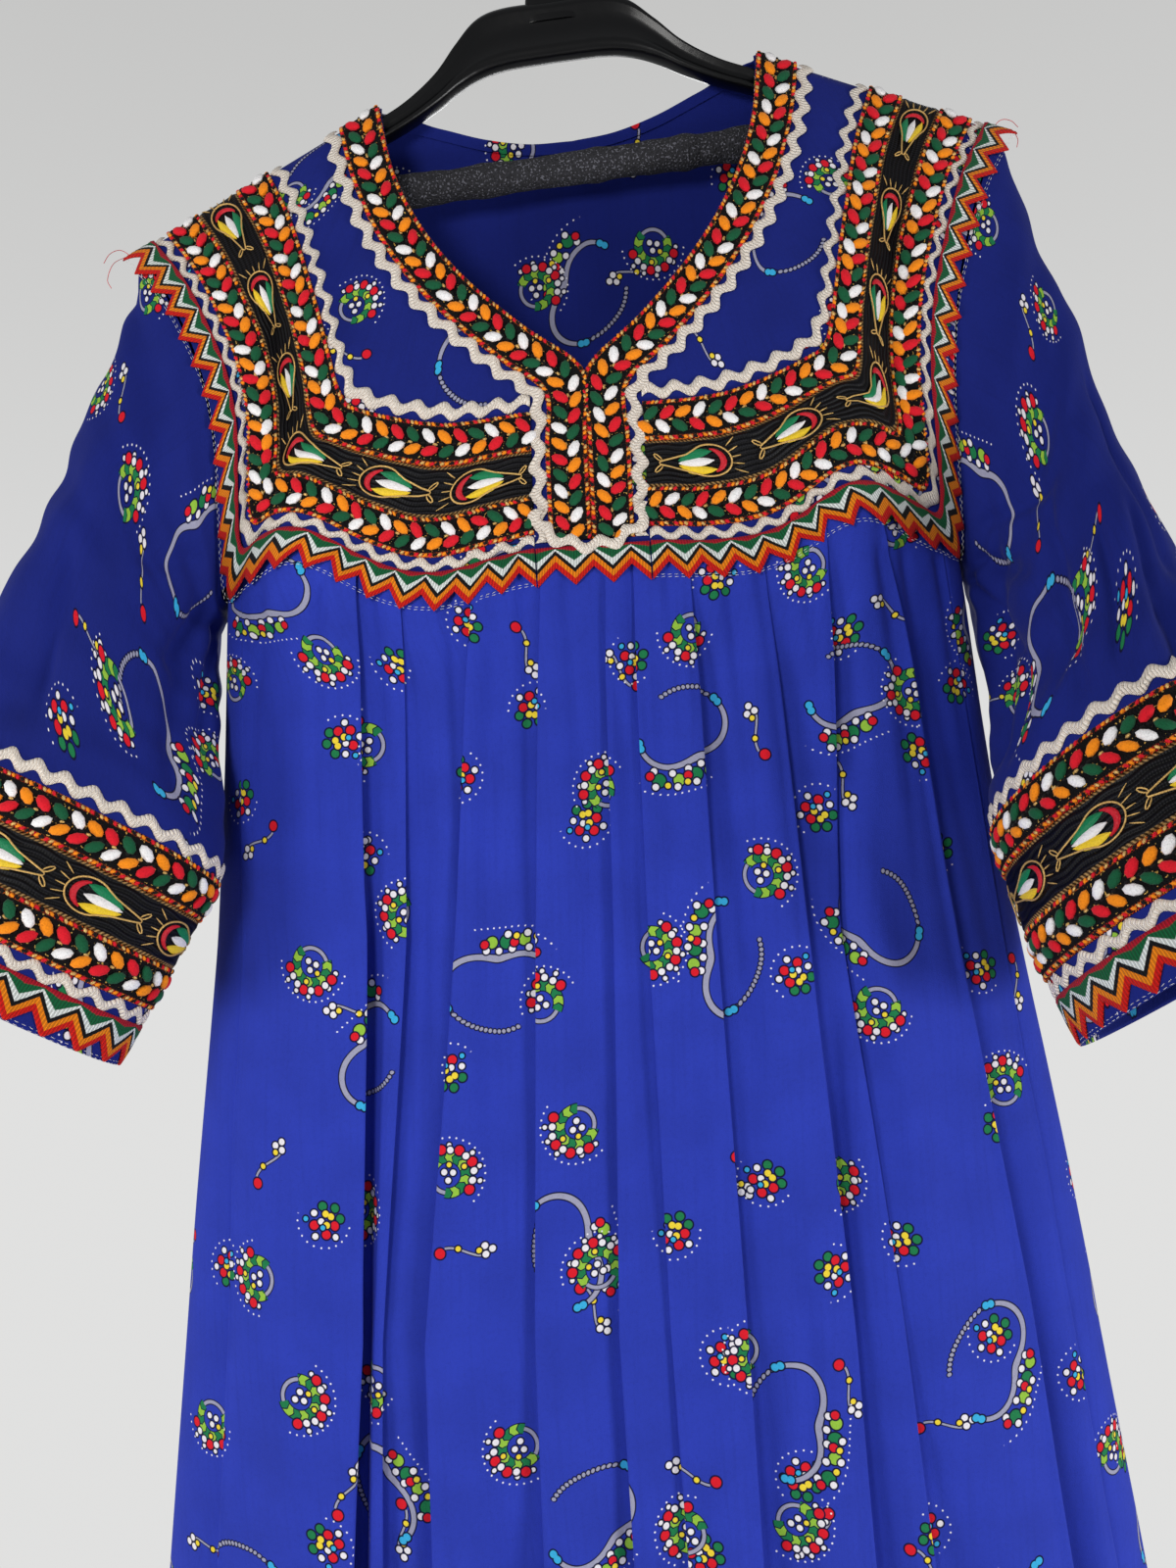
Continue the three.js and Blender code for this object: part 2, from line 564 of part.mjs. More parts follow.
function hangerHook() {
  const route = [new THREE.Vector3(0, 0, -66), new THREE.Vector3(0, 0, -52)];
  for (let degrees = -62; degrees <= 196; degrees += 21.5) {
    const a = THREE.MathUtils.degToRad(degrees);
    route.push(new THREE.Vector3(HOOK.bend * Math.cos(a), 0, HOOK.wire - HOOK.bend + HOOK.bend * Math.sin(a)));
  }
  const path = new THREE.CatmullRomCurve3(route);
  const section = new THREE.Shape().absarc(0, 0, HOOK.wire, 0, 2 * Math.PI);
  return new THREE.ExtrudeGeometry(section, { steps: 36, extrudePath: path, curveSegments: 5, bevelEnabled: false });
}

function hanger() {
  const group = new THREE.Group();
  group.rotation.y = -Math.atan(TILT);
  const tab = new THREE.BoxGeometry(2 * HOOK.neck, 7, 12).translate(0, 0, -60);
  const core = new THREE.CylinderGeometry(BAR.core, BAR.core, 2 * BAR.reach, 12).rotateZ(Math.PI / 2).translate(0, 0, BAR.z);
  const frame = solid(hangerArms()).add(solid(hangerHook())).add(solid(tab)).add(solid(core));
  group.add(mesh("hanger_frame", geometryOf(frame), COLOURS.plastic, 0.25));
  const foam = new THREE.CylinderGeometry(BAR.foam, BAR.foam, 2 * BAR.foamReach, 16);
  const bore = new THREE.CylinderGeometry(BAR.core + SEAM, BAR.core + SEAM, 2 * BAR.foamReach + 4, 16);
  const sleeve = solid(foam.rotateZ(Math.PI / 2).translate(0, 0, BAR.z)).subtract(
    solid(bore.rotateZ(Math.PI / 2).translate(0, 0, BAR.z)),
  );
  group.add(mesh("hanger_bar_foam", geometryOf(sleeve), COLOURS.foam, 0.95));
  return group;
}

// ---- The whole part ----------------------------------------------------------------------------
const dress = new THREE.Group();
const flip = (rows) => rows.map((row) => row.slice().reverse());

dress.add(mesh("front_yoke", cloth(yoke), COLOURS.cloth));
dress.add(mesh("front_skirt", cloth(frontSkirtRows()), COLOURS.cloth));
dress.add(mesh("back_panel", cloth(flip(backRows())), COLOURS.cloth));

for (const [side, hand, table] of [["right", 1, RIGHT_SLEEVE], ["left", -1, LEFT_SLEEVE]]) {
  const rings = flip(sleeveRings(hand, table));
  dress.add(mesh(`sleeve_${side}`, cloth(rings, true), COLOURS.cloth));
  for (const { name, from, to, strips, thick, colour } of TRIMS) {
    const round = cuffRows(rings, from, to);
    dress.add(mesh(`cuff_${name}_${side}`, trim(round, normalsOf(round, true), CUFF_LAY, thick, true), colour));
    dress.add(mesh(`yoke_${name}_${side}`, yokeTrim(frameRows(hand, from, to, strips), hand, thick), colour));
  }
  dress.add(mesh(`neck_braid_${side}`, yokeTrim(neckRows(hand, ...NECK_BRAID), hand, 2.4), 0xc23a1c));
  dress.add(mesh(`neck_rick_${side}`, yokeTrim(neckRows(hand, ...NECK_RICKRACK), hand, 1.2), 0xf0e6d8));
}
dress.add(hanger());

export default dress;
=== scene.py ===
"""A Kabyle dress hanging open on a plastic clothes hanger, finished for close views.

The cloth is worked out in millimetres in the garment's own frame, whose middle hangs a little to
one side of the hook, and is turned into metres when a mesh is made. Front is towards -Y, up is +Z.
"""

from __future__ import annotations

import logging
import math
import sys
from collections.abc import Callable, Sequence
from dataclasses import dataclass, field
from enum import Enum

import bpy
import numpy as np
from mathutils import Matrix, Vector

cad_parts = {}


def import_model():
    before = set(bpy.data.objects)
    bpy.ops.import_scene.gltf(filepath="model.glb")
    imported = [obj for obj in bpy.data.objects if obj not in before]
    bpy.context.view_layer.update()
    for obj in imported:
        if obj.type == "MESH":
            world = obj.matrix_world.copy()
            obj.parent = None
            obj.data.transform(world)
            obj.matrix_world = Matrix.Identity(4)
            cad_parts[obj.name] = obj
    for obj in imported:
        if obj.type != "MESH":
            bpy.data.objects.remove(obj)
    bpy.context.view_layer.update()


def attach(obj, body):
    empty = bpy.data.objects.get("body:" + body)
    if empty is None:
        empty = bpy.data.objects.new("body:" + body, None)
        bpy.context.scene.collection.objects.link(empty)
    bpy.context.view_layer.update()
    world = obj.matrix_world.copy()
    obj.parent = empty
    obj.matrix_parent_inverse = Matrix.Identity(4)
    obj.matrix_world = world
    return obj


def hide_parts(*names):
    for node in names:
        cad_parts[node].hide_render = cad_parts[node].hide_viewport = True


Array = np.ndarray
Colour = tuple[float, float, float]
Socket = bpy.types.NodeSocket
Material = bpy.types.Material
Object = bpy.types.Object
MM = 0.001
BODY_NAME = "root"
LOG = logging.getLogger("dress")

# ---- The garment's shape, in millimetres, as the solids have it -------------------------------
SWING = 9.0  # the garment's middle lies this far along +X from the hook
TILT = 0.08  # rise of the hanger for each millimetre along +X
LEAN = 3.0  # the neck opening sits this far along +X from the garment's middle
NECK_X, NECK_Z = 94.0, -103.0
TIP_X, TIP_Z = 213.0, -157.5
ARMPIT_X, ARMPIT_Z = 183.0, -352.0
HEM_Z = -1325.0
SADDLE = 8.0  # the cloth turns over the hanger's arm with this radius
EDGE = 0.65  # a panel stops this far from the plane of the side and shoulder seams
YOKE_FOOT = -348.0

# z, half width, reach round the oval section, depth in front, depth behind
BODY = np.array(
    [
        (-103, 240, 0.46, 26, 20),
        (-158, 213, 0.5, 30, 23),
        (-187, 199, 0.52, 33, 25),
        (-216, 187, 0.55, 35, 27),
        (-246, 179, 0.6, 37, 28),
        (-280, 175.5, 0.7, 38, 29),
        (-318, 178, 0.88, 39, 30),
        (-352, 183, 1, 40, 31),
        (-430, 189, 1, 45, 34),
        (-520, 198, 1, 50, 37),
        (-650, 217, 1, 56, 41),
        (-830, 241, 1, 63, 46),
        (-1060, 270, 1, 72, 53),
        (-1325, 300, 1, 80, 60),
    ],
    float,
)
HALF, REACH, FRONT, BACK = 1, 2, 3, 4

# x, z and x at the foot of the column, from the middle to the neck point
FRONT_NECK = np.array(
    [(0, -259, 0), (27, -235, 20), (54, -207, 40), (74, -177, 58), (87, -144, 70), (92.5, -112, 83), (94, -103, 90)],
    float,
)
BACK_NECK = np.array(
    [(0, -124, 0), (22, -122.5, 20), (44, -117.5, 40), (64, -110.5, 58), (80, -104.8, 70), (88, -103.4, 80)]
    + [(94, -103, 90)],
    float,
)
# x, width, rise of the yoke's foot and push forward of each wave that a big fold raises
YOKE_WAVES = ((-142.0, 26.0, 13.0, 9.0), (124.0, 30.0, 16.0, 11.0), (-76.0, 30.0, -7.0, 0.0))

# The frame's inner and outer lines, from the shoulder down to the corner and in to the placket.
FRAME_INNER = np.array(
    [(142, 0), (131, -155), (124, -182), (118, -208), (113, -232), (110, -244), (105, -254), (99, -257.5)]
    + [(92, -260), (84, -262), (76, -264), (68, -265.5), (60, -267), (45, -268), (25.4, -268)],
    float,
)
FRAME_OUTER = np.array(
    [(222, 0), (203, -189), (189.5, -218), (179.5, -249), (176, -284), (178, -320), (180, -354), (166, -355)]
    + [(152, -355), (138, -355), (124, -356), (111, -358), (98, -360), (70, -361), (25.4, -359)],
    float,
)
NECK_REACH = 28.0  # the neck's trims lie within this distance of its edge
PLACKET_FOOT = -340.0

# inner fold line, outer fold line and half depth of each sleeve's rings below the armhole
RIGHT_SLEEVE = (
    ((188, -5, -371), (226, -4, -214), 40),
    ((189, -22, -402), (240, -18, -292), 48),
    ((184, -46, -436), (254, -38, -362), 56),
    ((173, -63, -468), (272, -56, -424), 63),
    ((176, -88, -518), (284, -80, -473), 64),
    ((187, -113, -566), (297, -103, -520), 64),
)
LEFT_SLEEVE = (
    ((188, -4, -371), (229, -3, -214), 38),
    ((190, -15, -402), (252, -11, -286), 43),
    ((187, -30, -438), (281, -20, -352), 46),
    ((180, -48, -477), (312, -32, -410), 47),
    ((200, -63, -519), (332, -46, -452), 48),
    ((222, -78, -561), (352, -60, -494), 48),
)
CUFF_START = 4.0 / 6.0  # share of the sleeve's rings at which the cuff's trims start


class Side(Enum):
    """Which way a panel faces."""

    FRONT = "front"
    BACK = "back"


class Hand(Enum):
    """The right or the left half, as seen from the front."""

    RIGHT = 1
    LEFT = -1

    @property
    def word(self) -> str:
        """The half's name in lower case."""
        return self.name.lower()


# ---- Small sums --------------------------------------------------------------------------------
def mix(a: Array | float, b: Array | float, t: Array | float) -> Array | float:
    """The value a share t of the way from a to b."""
    return a + (b - a) * t


def smooth(t: Array | float) -> Array:
    """A soft step from 0 at 0 to 1 at 1."""
    t = np.clip(t, 0.0, 1.0)
    return t * t * (3.0 - 2.0 * t)


def bell(t: Array | float) -> Array:
    """A soft hump, 1 at 0."""
    return np.exp(-np.square(t))


def blurred(values: Array, cells: float, axis: int = 0) -> Array:
    """Values averaged with their neighbours, with the ends held.

    Args:
        values: The array.
        cells: Standard deviation of the blur, in cells.
        axis: The axis along which it is blurred.

    Returns:
        An array of the same shape.
    """
    reach = max(1, int(3 * cells))
    weights = bell(np.arange(-reach, reach + 1) / (cells * 1.4142))
    weights /= weights.sum()
    first, last = (np.repeat(np.take(values, [end], axis), reach, axis) for end in (0, -1))
    padded = np.concatenate([first, values, last], axis)
    count = values.shape[axis]
    return sum(w * np.take(padded, range(i, i + count), axis) for i, w in enumerate(weights))


def soft_noise(shape: tuple[int, int], cells: tuple[float, float], seed: int) -> Array:
    """Smooth random heights of about unit size.

    Args:
        shape: Rows and columns.
        cells: Size of a bump in rows and in columns.
        seed: Seed of the random numbers.

    Returns:
        An array of that shape.
    """
    raw = np.random.default_rng(seed).normal(size=shape)
    made = blurred(blurred(raw, cells[0], 0), cells[1], 1)
    return made / (made.std() + 1e-9)


def through(points: Array, count: int) -> Array:
    """Evenly spread parameters on a smooth curve through points.

    Args:
        points: One row of coordinates for each point.
        count: How many points the curve is to have.

    Returns:
        Coordinates of the curve's points, from the first point to the last.
    """
    padded = np.vstack([2 * points[0] - points[1], points, 2 * points[-1] - points[-2]])
    t = np.linspace(0, len(points) - 1, count)
    i = np.minimum(t.astype(int), len(points) - 2)
    f = (t - i)[:, None]
    a, b, c, d = (padded[i + k] for k in range(4))
    return 0.5 * (2 * b + (c - a) * f + (2 * a - 5 * b + 4 * c - d) * f**2 + (3 * b - a - 3 * c + d) * f**3)


FINE_Z = np.arange(-60.0, -1345.0, -1.0)
FINE_BODY = np.stack(
    [blurred(np.interp(-FINE_Z, -BODY[:, 0], BODY[:, k]), 9.0) for k in range(1, 5)], axis=1
)


def body(column: int, z: Array) -> Array:
    """A column of BODY at each height, with its corners rounded."""
    return np.interp(-np.asarray(z, float), -FINE_Z, FINE_BODY[:, column - 1])


def shoulder_z(x: Array) -> Array:
    """Height of the shoulder line at x."""
    return NECK_Z - np.maximum(0.0, np.abs(x) - NECK_X) * (NECK_Z - TIP_Z) / (TIP_X - NECK_X)


def foot_rise(x: Array) -> Array:
    """How far the yoke's foot rides up at x."""
    return sum(rise * bell((x - at) / wide) for at, wide, rise, _ in YOKE_WAVES)


def wave_push(x: Array, z: Array) -> Array:
    """How far the yoke's waves push the cloth forward."""
    push = sum(p * bell((x - at) / wide) for at, wide, _, p in YOKE_WAVES)
    return push * smooth((-235 - z) / 110) * smooth((z + 560) / 150)


def hang(x: Array, y: Array, z: Array) -> Array:
    """Points of the garment's frame where they hang, askew above the armpits.

    Args:
        x: Across, from the garment's middle.
        y: Towards the back.
        z: Up, from the hook.

    Returns:
        Points with a last axis of three.
    """
    held = smooth((z - ARMPIT_Z) / 190)
    middle = np.maximum(0.0, 1 - (x / TIP_X) ** 2)
    return np.stack(np.broadcast_arrays(x + LEAN * middle * held + SWING, y, z + TILT * x * held), axis=-1)


def grid_normals(points: Array, ring: bool = False) -> Array:
    """Unit normals of a grid of points whose rows run down and whose columns run round."""
    if ring:
        wide = np.concatenate([points[:, -1:], points, points[:, :1]], axis=1)
        along = wide[:, 2:] - wide[:, :-2]
    else:
        along = np.gradient(points, axis=1)
    down = np.gradient(points, axis=0)
    normals = np.cross(down, along)
    return normals / np.maximum(np.linalg.norm(normals, axis=-1, keepdims=True), 1e-9)


@dataclass(frozen=True)
class Crease:
    """A soft trough or ridge drawn along a line of the cloth.

    Attributes:
        path: Places on the cloth.
        deep: Height in millimetres, below 0 for a trough.
        wide: Half width in millimetres.
    """

    path: Sequence[tuple[float, float]]
    deep: float
    wide: float

    def height(self, x: Array, z: Array) -> Array:
        """How far the crease lifts the cloth at each place."""
        line = through(np.array(self.path, float), 8 * len(self.path))
        reach = 3 * self.wide
        near = (x > line[:, 0].min() - reach) & (x < line[:, 0].max() + reach)
        near &= (z > line[:, 1].min() - reach) & (z < line[:, 1].max() + reach)
        px, pz = x[near], z[near]
        found, share = np.full(px.shape, np.inf), np.zeros(px.shape)
        for k in range(len(line) - 1):
            ax, az = line[k]
            dx, dz = line[k + 1] - line[k]
            t = np.clip(((px - ax) * dx + (pz - az) * dz) / (dx * dx + dz * dz + 1e-9), 0, 1)
            far = np.hypot(px - ax - t * dx, pz - az - t * dz)
            closer = far < found
            found = np.where(closer, far, found)
            share = np.where(closer, (k + t) / (len(line) - 1), share)
        lift = np.zeros(np.shape(x))
        ends = smooth(share / 0.22) * smooth((1 - share) / 0.22)
        lift[near] = self.deep * bell(found / self.wide) * (0.15 + 0.85 * ends)
        return lift


def creased(creases: Sequence[Crease], x: Array, z: Array) -> Array:
    """The sum of the creases' heights at each place."""
    return sum((crease.height(x, z) for crease in creases), np.zeros(np.shape(x)))


# ---- Meshes ------------------------------------------------------------------------------------
def object_from(
    name: str,
    points: Array,
    faces: Array,
    uv: Array | None,
    materials: Sequence[Material],
    face_materials: Array | None = None,
) -> Object:
    """A smooth-shaded object from points in millimetres.

    Args:
        name: Name of the object.
        points: One row for each vertex.
        faces: One row of vertex numbers for each face, all with as many corners.
        uv: Texture place of each face's corners, or None.
        materials: Materials of the object.
        face_materials: Number of each face's material, or None for the first.

    Returns:
        The object, linked to the scene.
    """
    mesh = bpy.data.meshes.new(name)
    corners = faces.shape[1]
    mesh.vertices.add(len(points))
    mesh.vertices.foreach_set("co", (points * MM).astype(np.float32).ravel())
    mesh.loops.add(faces.size)
    mesh.loops.foreach_set("vertex_index", faces.astype(np.int32).ravel())
    mesh.polygons.add(len(faces))
    mesh.polygons.foreach_set("loop_start", np.arange(0, faces.size, corners, dtype=np.int32))
    if uv is not None:
        layer = mesh.uv_layers.new(name="cloth")
        layer.data.foreach_set("uv", uv.astype(np.float32).ravel())
    for material in materials:
        mesh.materials.append(material)
    if face_materials is not None:
        mesh.polygons.foreach_set("material_index", face_materials.astype(np.int32))
    mesh.polygons.foreach_set("use_smooth", np.ones(len(faces), bool))
    mesh.update(calc_edges=True)
    mesh.validate()
    made = bpy.data.objects.new(name, mesh)
    bpy.context.scene.collection.objects.link(made)
    return made


def grid_object(
    name: str, points: Array, uv: Array, material: Material, ring: bool = False, flip: bool = False
) -> Object:
    """An object from a grid of points.

    Args:
        name: Name of the object.
        points: Rows, columns and three coordinates in millimetres.
        uv: Rows, columns (one more on a ring) and two coordinates in metres.
        material: The grid's material.
        ring: Whether the last column joins the first.
        flip: Whether the faces are turned round.

    Returns:
        The object, linked to the scene.
    """
    high, wide = points.shape[:2]
    r, c = np.meshgrid(np.arange(high - 1), np.arange(wide if ring else wide - 1), indexing="ij")
    step = [(0, 0), (1, 0), (1, 1), (0, 1)]
    if flip:
        step.reverse()
    faces = np.stack([(r + i) * wide + (c + j) % wide for i, j in step], axis=-1).reshape(-1, 4)
    places = np.stack([uv[r + i, c + j] for i, j in step], axis=-2).reshape(-1, 2)
    return object_from(name, points.reshape(-1, 3), faces, places, [material])


QUAD = ((0, 0), (0, 1), (1, 1), (1, 0))  # a face's corners, in rows and columns from its first


def grid_faces(rows: int, across: int, ring: bool = True) -> Array:
    """Corners of a grid's faces.

    Args:
        rows: Rows of points.
        across: Points in a row.
        ring: Whether the last point of a row joins the first.

    Returns:
        One row of four point numbers for each face.
    """
    r, c = np.meshgrid(np.arange(rows - 1), np.arange(across if ring else across - 1), indexing="ij")
    return np.stack([(r + i) * across + (c + j) % across for i, j in QUAD], axis=-1).reshape(-1, 4)


def joined(parts: Sequence[tuple[Array, Array]]) -> tuple[Array, Array]:
    """Points and faces of several parts as those of one."""
    starts = np.cumsum([0] + [len(points) for points, _ in parts])
    faces = [corners + start for (_, corners), start in zip(parts, starts)]
    return np.vstack([points for points, _ in parts]), np.vstack(faces)


def tube(path: Array, radii: Array, sides: int) -> tuple[Array, Array]:
    """Points and faces of a round bar along a path across Y, open at its ends."""
    run = np.gradient(path, axis=0)
    run /= np.linalg.norm(run, axis=1, keepdims=True)
    turn = np.linspace(0, 2 * math.pi, sides, endpoint=False)
    depthwise = np.array((0.0, 1.0, 0.0))
    aside = np.cross(run, depthwise)
    ring = np.cos(turn)[None, :, None] * aside[:, None] + np.sin(turn)[None, :, None] * depthwise
    points = path[:, None] + ring * radii[:, None, None]
    return points.reshape(-1, 3), grid_faces(len(path), sides)


def row_lengths(points: Array) -> Array:
    """Distance along each row of a grid from its first point."""
    steps = np.linalg.norm(np.diff(points, axis=1), axis=-1)
    return np.concatenate([np.zeros((len(points), 1)), np.cumsum(steps, axis=1)], axis=1)


def turned_in(points: Array, normals: Array, rows: int, thick: float = 0.9) -> Array:
    """Rows to add after a grid's last one, for an edge that is folded to the inside.

    Args:
        points: The grid.
        normals: Its normals.
        rows: How many rows the turned edge covers.
        thick: How far inside the cloth it lies.

    Returns:
        The added rows.
    """
    picked = slice(-1, -rows - 1, -1)
    return points[picked] - normals[picked] * thick


# ---- Materials ---------------------------------------------------------------------------------
# The print's sizes in millimetres: fade of an edge, rim round a dot, radius of the finest beads.
SOFT_EDGE, OUTLINE, BEAD = 0.3, 0.75, 0.42
# A scroll's line: its mean radius, the height of its bow and of its ripple, and where it starts.
SCROLL_REACH, SCROLL_BOW, SCROLL_RIPPLE, SCROLL_PHASE = 21.0, 4.5, 1.6, 0.7
Dots = tuple[Sequence[tuple[float, float]], float, Colour]  # angles and radii, size, colour


class Field:
    """A number that varies over a material, with the usual signs for sums."""

    def __init__(self, paint: Paint, socket: Socket) -> None:
        """Holds the socket that gives the number."""
        self.paint = paint
        self.socket = socket

    def __add__(self, other: Field | float) -> Field:
        """The sum."""
        return self.paint.sum_of("ADD", self, other)

    __radd__ = __add__

    def __sub__(self, other: Field | float) -> Field:
        """The difference."""
        return self.paint.sum_of("SUBTRACT", self, other)

    def __mul__(self, other: Field | float) -> Field:
        """The product."""
        return self.paint.sum_of("MULTIPLY", self, other)

    __rmul__ = __mul__

    def __truediv__(self, other: Field | float) -> Field:
        """The quotient."""
        return self.paint.sum_of("DIVIDE", self, other)

    def call(self, operation: str, *others: Field | float) -> Field:
        """The result of one of Blender's own sums on this number."""
        return self.paint.sum_of(operation, self, *others)

    def below(self, edge: Field | float, soft: float = SOFT_EDGE) -> Field:
        """A mask that is 1 where the number is well below the edge."""
        if isinstance(edge, Field):
            return self.paint.sum_of("MULTIPLY_ADD", self - edge, -1.0 / soft, 0.5, clamp=True)
        return self.paint.sum_of("MULTIPLY_ADD", self, -1.0 / soft, 0.5 + edge / soft, clamp=True)

    def both(self, other: Field) -> Field:
        """A mask that is 1 where both masks are."""
        return self.call("MULTIPLY", other)


class Paint:
    """A material that is built up from sums, masks and layers of colour."""

    def __init__(self, name: str, roughness: float, **sockets: float | Colour) -> None:
        """Makes the material.

        Args:
            name: Name of the material.
            roughness: Roughness all over.
            sockets: Other inputs of the shader that are the same all over, with _ for a space.
        """
        self.material = bpy.data.materials.new(name)
        self.material.use_nodes = True
        self.tree = self.material.node_tree
        self.tree.nodes.clear()
        self.shader = self.node("ShaderNodeBsdfPrincipled")
        output = self.node("ShaderNodeOutputMaterial")
        self.tree.links.new(self.shader.outputs[0], output.inputs["Surface"])
        self.shader.inputs["Roughness"].default_value = roughness
        for key, value in sockets.items():
            entry = self.shader.inputs[key.replace("_", " ")]
            entry.default_value = (*value, 1.0) if isinstance(value, tuple) else value
        self._uv: tuple[Field, Field] | None = None

    def node(self, kind: str, **settings: object) -> bpy.types.Node:
        """A new node with its settings."""
        made = self.tree.nodes.new(kind)
        for key, value in settings.items():
            setattr(made, key, value)
        return made

    def plug(self, entry: Socket, value: Field | float | Socket | Colour) -> None:
        """Links or sets one input."""
        if isinstance(value, Field):
            self.tree.links.new(value.socket, entry)
        elif isinstance(value, Socket):
            self.tree.links.new(value, entry)
        elif isinstance(value, tuple):
            entry.default_value = (*value, 1.0)
        else:
            entry.default_value = value

    def sum_of(self, operation: str, *values: Field | float, clamp: bool = False) -> Field:
        """The result of one sum."""
        made = self.node("ShaderNodeMath", operation=operation, use_clamp=clamp)
        for entry, value in zip(made.inputs, values):
            self.plug(entry, value)
        return Field(self, made.outputs[0])

    def uv(self) -> tuple[Field, Field]:
        """The piece's own two coordinates."""
        if self._uv is None:
            place = self.node("ShaderNodeUVMap", uv_map="cloth")
            parts = self.node("ShaderNodeSeparateXYZ")
            self.tree.links.new(place.outputs[0], parts.inputs[0])
            self._uv = Field(self, parts.outputs[0]), Field(self, parts.outputs[1])
        return self._uv

    def vector(self, x: Field | float, y: Field | float, z: Field | float = 0.0) -> Socket:
        """A vector of three numbers."""
        made = self.node("ShaderNodeCombineXYZ")
        for entry, value in zip(made.inputs, (x, y, z)):
            self.plug(entry, value)
        return made.outputs[0]

    def place(self) -> Socket:
        """The place in the object, in metres."""
        return self.node("ShaderNodeTexCoord").outputs["Object"]

    def far(self, where: Socket, spot: tuple[float, float]) -> Field:
        """Distance of a place from a spot of the flat cloth."""
        made = self.node("ShaderNodeVectorMath", operation="DISTANCE")
        self.tree.links.new(where, made.inputs[0])
        made.inputs[1].default_value = (*spot, 0.0)
        return Field(self, made.outputs["Value"])

    def noise(self, where: Socket, scale: float, detail: float = 2.0) -> Field:
        """Smooth noise from 0 to 1."""
        made = self.node("ShaderNodeTexNoise")
        self.plug(made.inputs["Vector"], where)
        made.inputs["Scale"].default_value = scale
        made.inputs["Detail"].default_value = detail
        return Field(self, made.outputs[0])

    def dice(self, where: Socket) -> tuple[Field, Field, Field]:
        """Three random numbers from 0 to 1 for each whole place."""
        made = self.node("ShaderNodeTexWhiteNoise", noise_dimensions="3D")
        self.plug(made.inputs["Vector"], where)
        parts = self.node("ShaderNodeSeparateColor")
        self.tree.links.new(made.outputs["Color"], parts.inputs[0])
        return tuple(Field(self, out) for out in parts.outputs)

    def layer(
        self, mask: Field | float, under: Socket | Colour, over: Socket | Colour
    ) -> Socket:
        """One colour laid over another where the mask is 1."""
        made = self.node("ShaderNodeMix", data_type="RGBA")
        self.plug(made.inputs[0], mask)
        self.plug(made.inputs[6], under)
        self.plug(made.inputs[7], over)
        return made.outputs[2]

    def finish(
        self, colour: Socket | Colour, height: Field | None = None, relief: float = 0.0003
    ) -> Material:
        """Sets the colour and the relief.

        Args:
            colour: The colour.
            height: Height of the relief, from 0 to 1.
            relief: What a height of 1 stands for, in metres.

        Returns:
            The finished material.
        """
        self.plug(self.shader.inputs["Base Color"], colour)
        if height is not None:
            bump = self.node("ShaderNodeBump")
            bump.inputs["Distance"].default_value = relief
            self.plug(bump.inputs["Height"], height)
            self.tree.links.new(bump.outputs[0], self.shader.inputs["Normal"])
        return self.material


def tint(red: int, green: int, blue: int) -> Colour:
    """A colour of the screen as linear light."""
    return tuple(((v / 255 + 0.055) / 1.055) ** 2.4 if v > 10 else v / 3294.6 for v in (red, green, blue))


class Spot:
    """The places of one motif, in millimetres from its middle."""

    def __init__(self, paint: Paint, x: Field, y: Field) -> None:
        """Keeps the two distances and works out radius and angle."""
        self.paint = paint
        self.x, self.y = x, y
        self.place = paint.vector(x, y)
        self.radius = paint.far(self.place, (0.0, 0.0))
        self.angle = y.call("ARCTAN2", x)

    def dots(self, places: Sequence[tuple[float, float]]) -> Field:
        """Distance to the nearest of some places.

        Args:
            places: Angle in degrees and radius of each place.

        Returns:
            The distance.
        """
        turns = [(math.radians(degrees), reach) for degrees, reach in places]
        all_far = [self.paint.far(self.place, (reach * math.cos(t), reach * math.sin(t))) for t, reach in turns]
        nearest = all_far[0]
        for far in all_far[1:]:
            nearest = nearest.call("MINIMUM", far)
        return nearest

    def arc(self, low: float, high: float) -> Field:
        """A mask of the angles between two, in degrees."""
        middle, half = math.radians((low + high) / 2), math.radians((high - low) / 2)
        return (self.angle - middle).call("ABSOLUTE").below(half, 0.05)

    def string(self, line: Field, at: float, pitch: float, size: float) -> Field:
        """A mask of beads strung along a round line.

        Args:
            line: Distance from the line.
            at: The line's mean radius.
            pitch: Distance between beads.
            size: Radius of a bead.

        Returns:
            The mask.
        """
        step = ((self.angle * (at / pitch)).call("FRACT") - 0.5) * pitch
        return self.paint.far(self.paint.vector(step, line), (0.0, 0.0)).below(size)


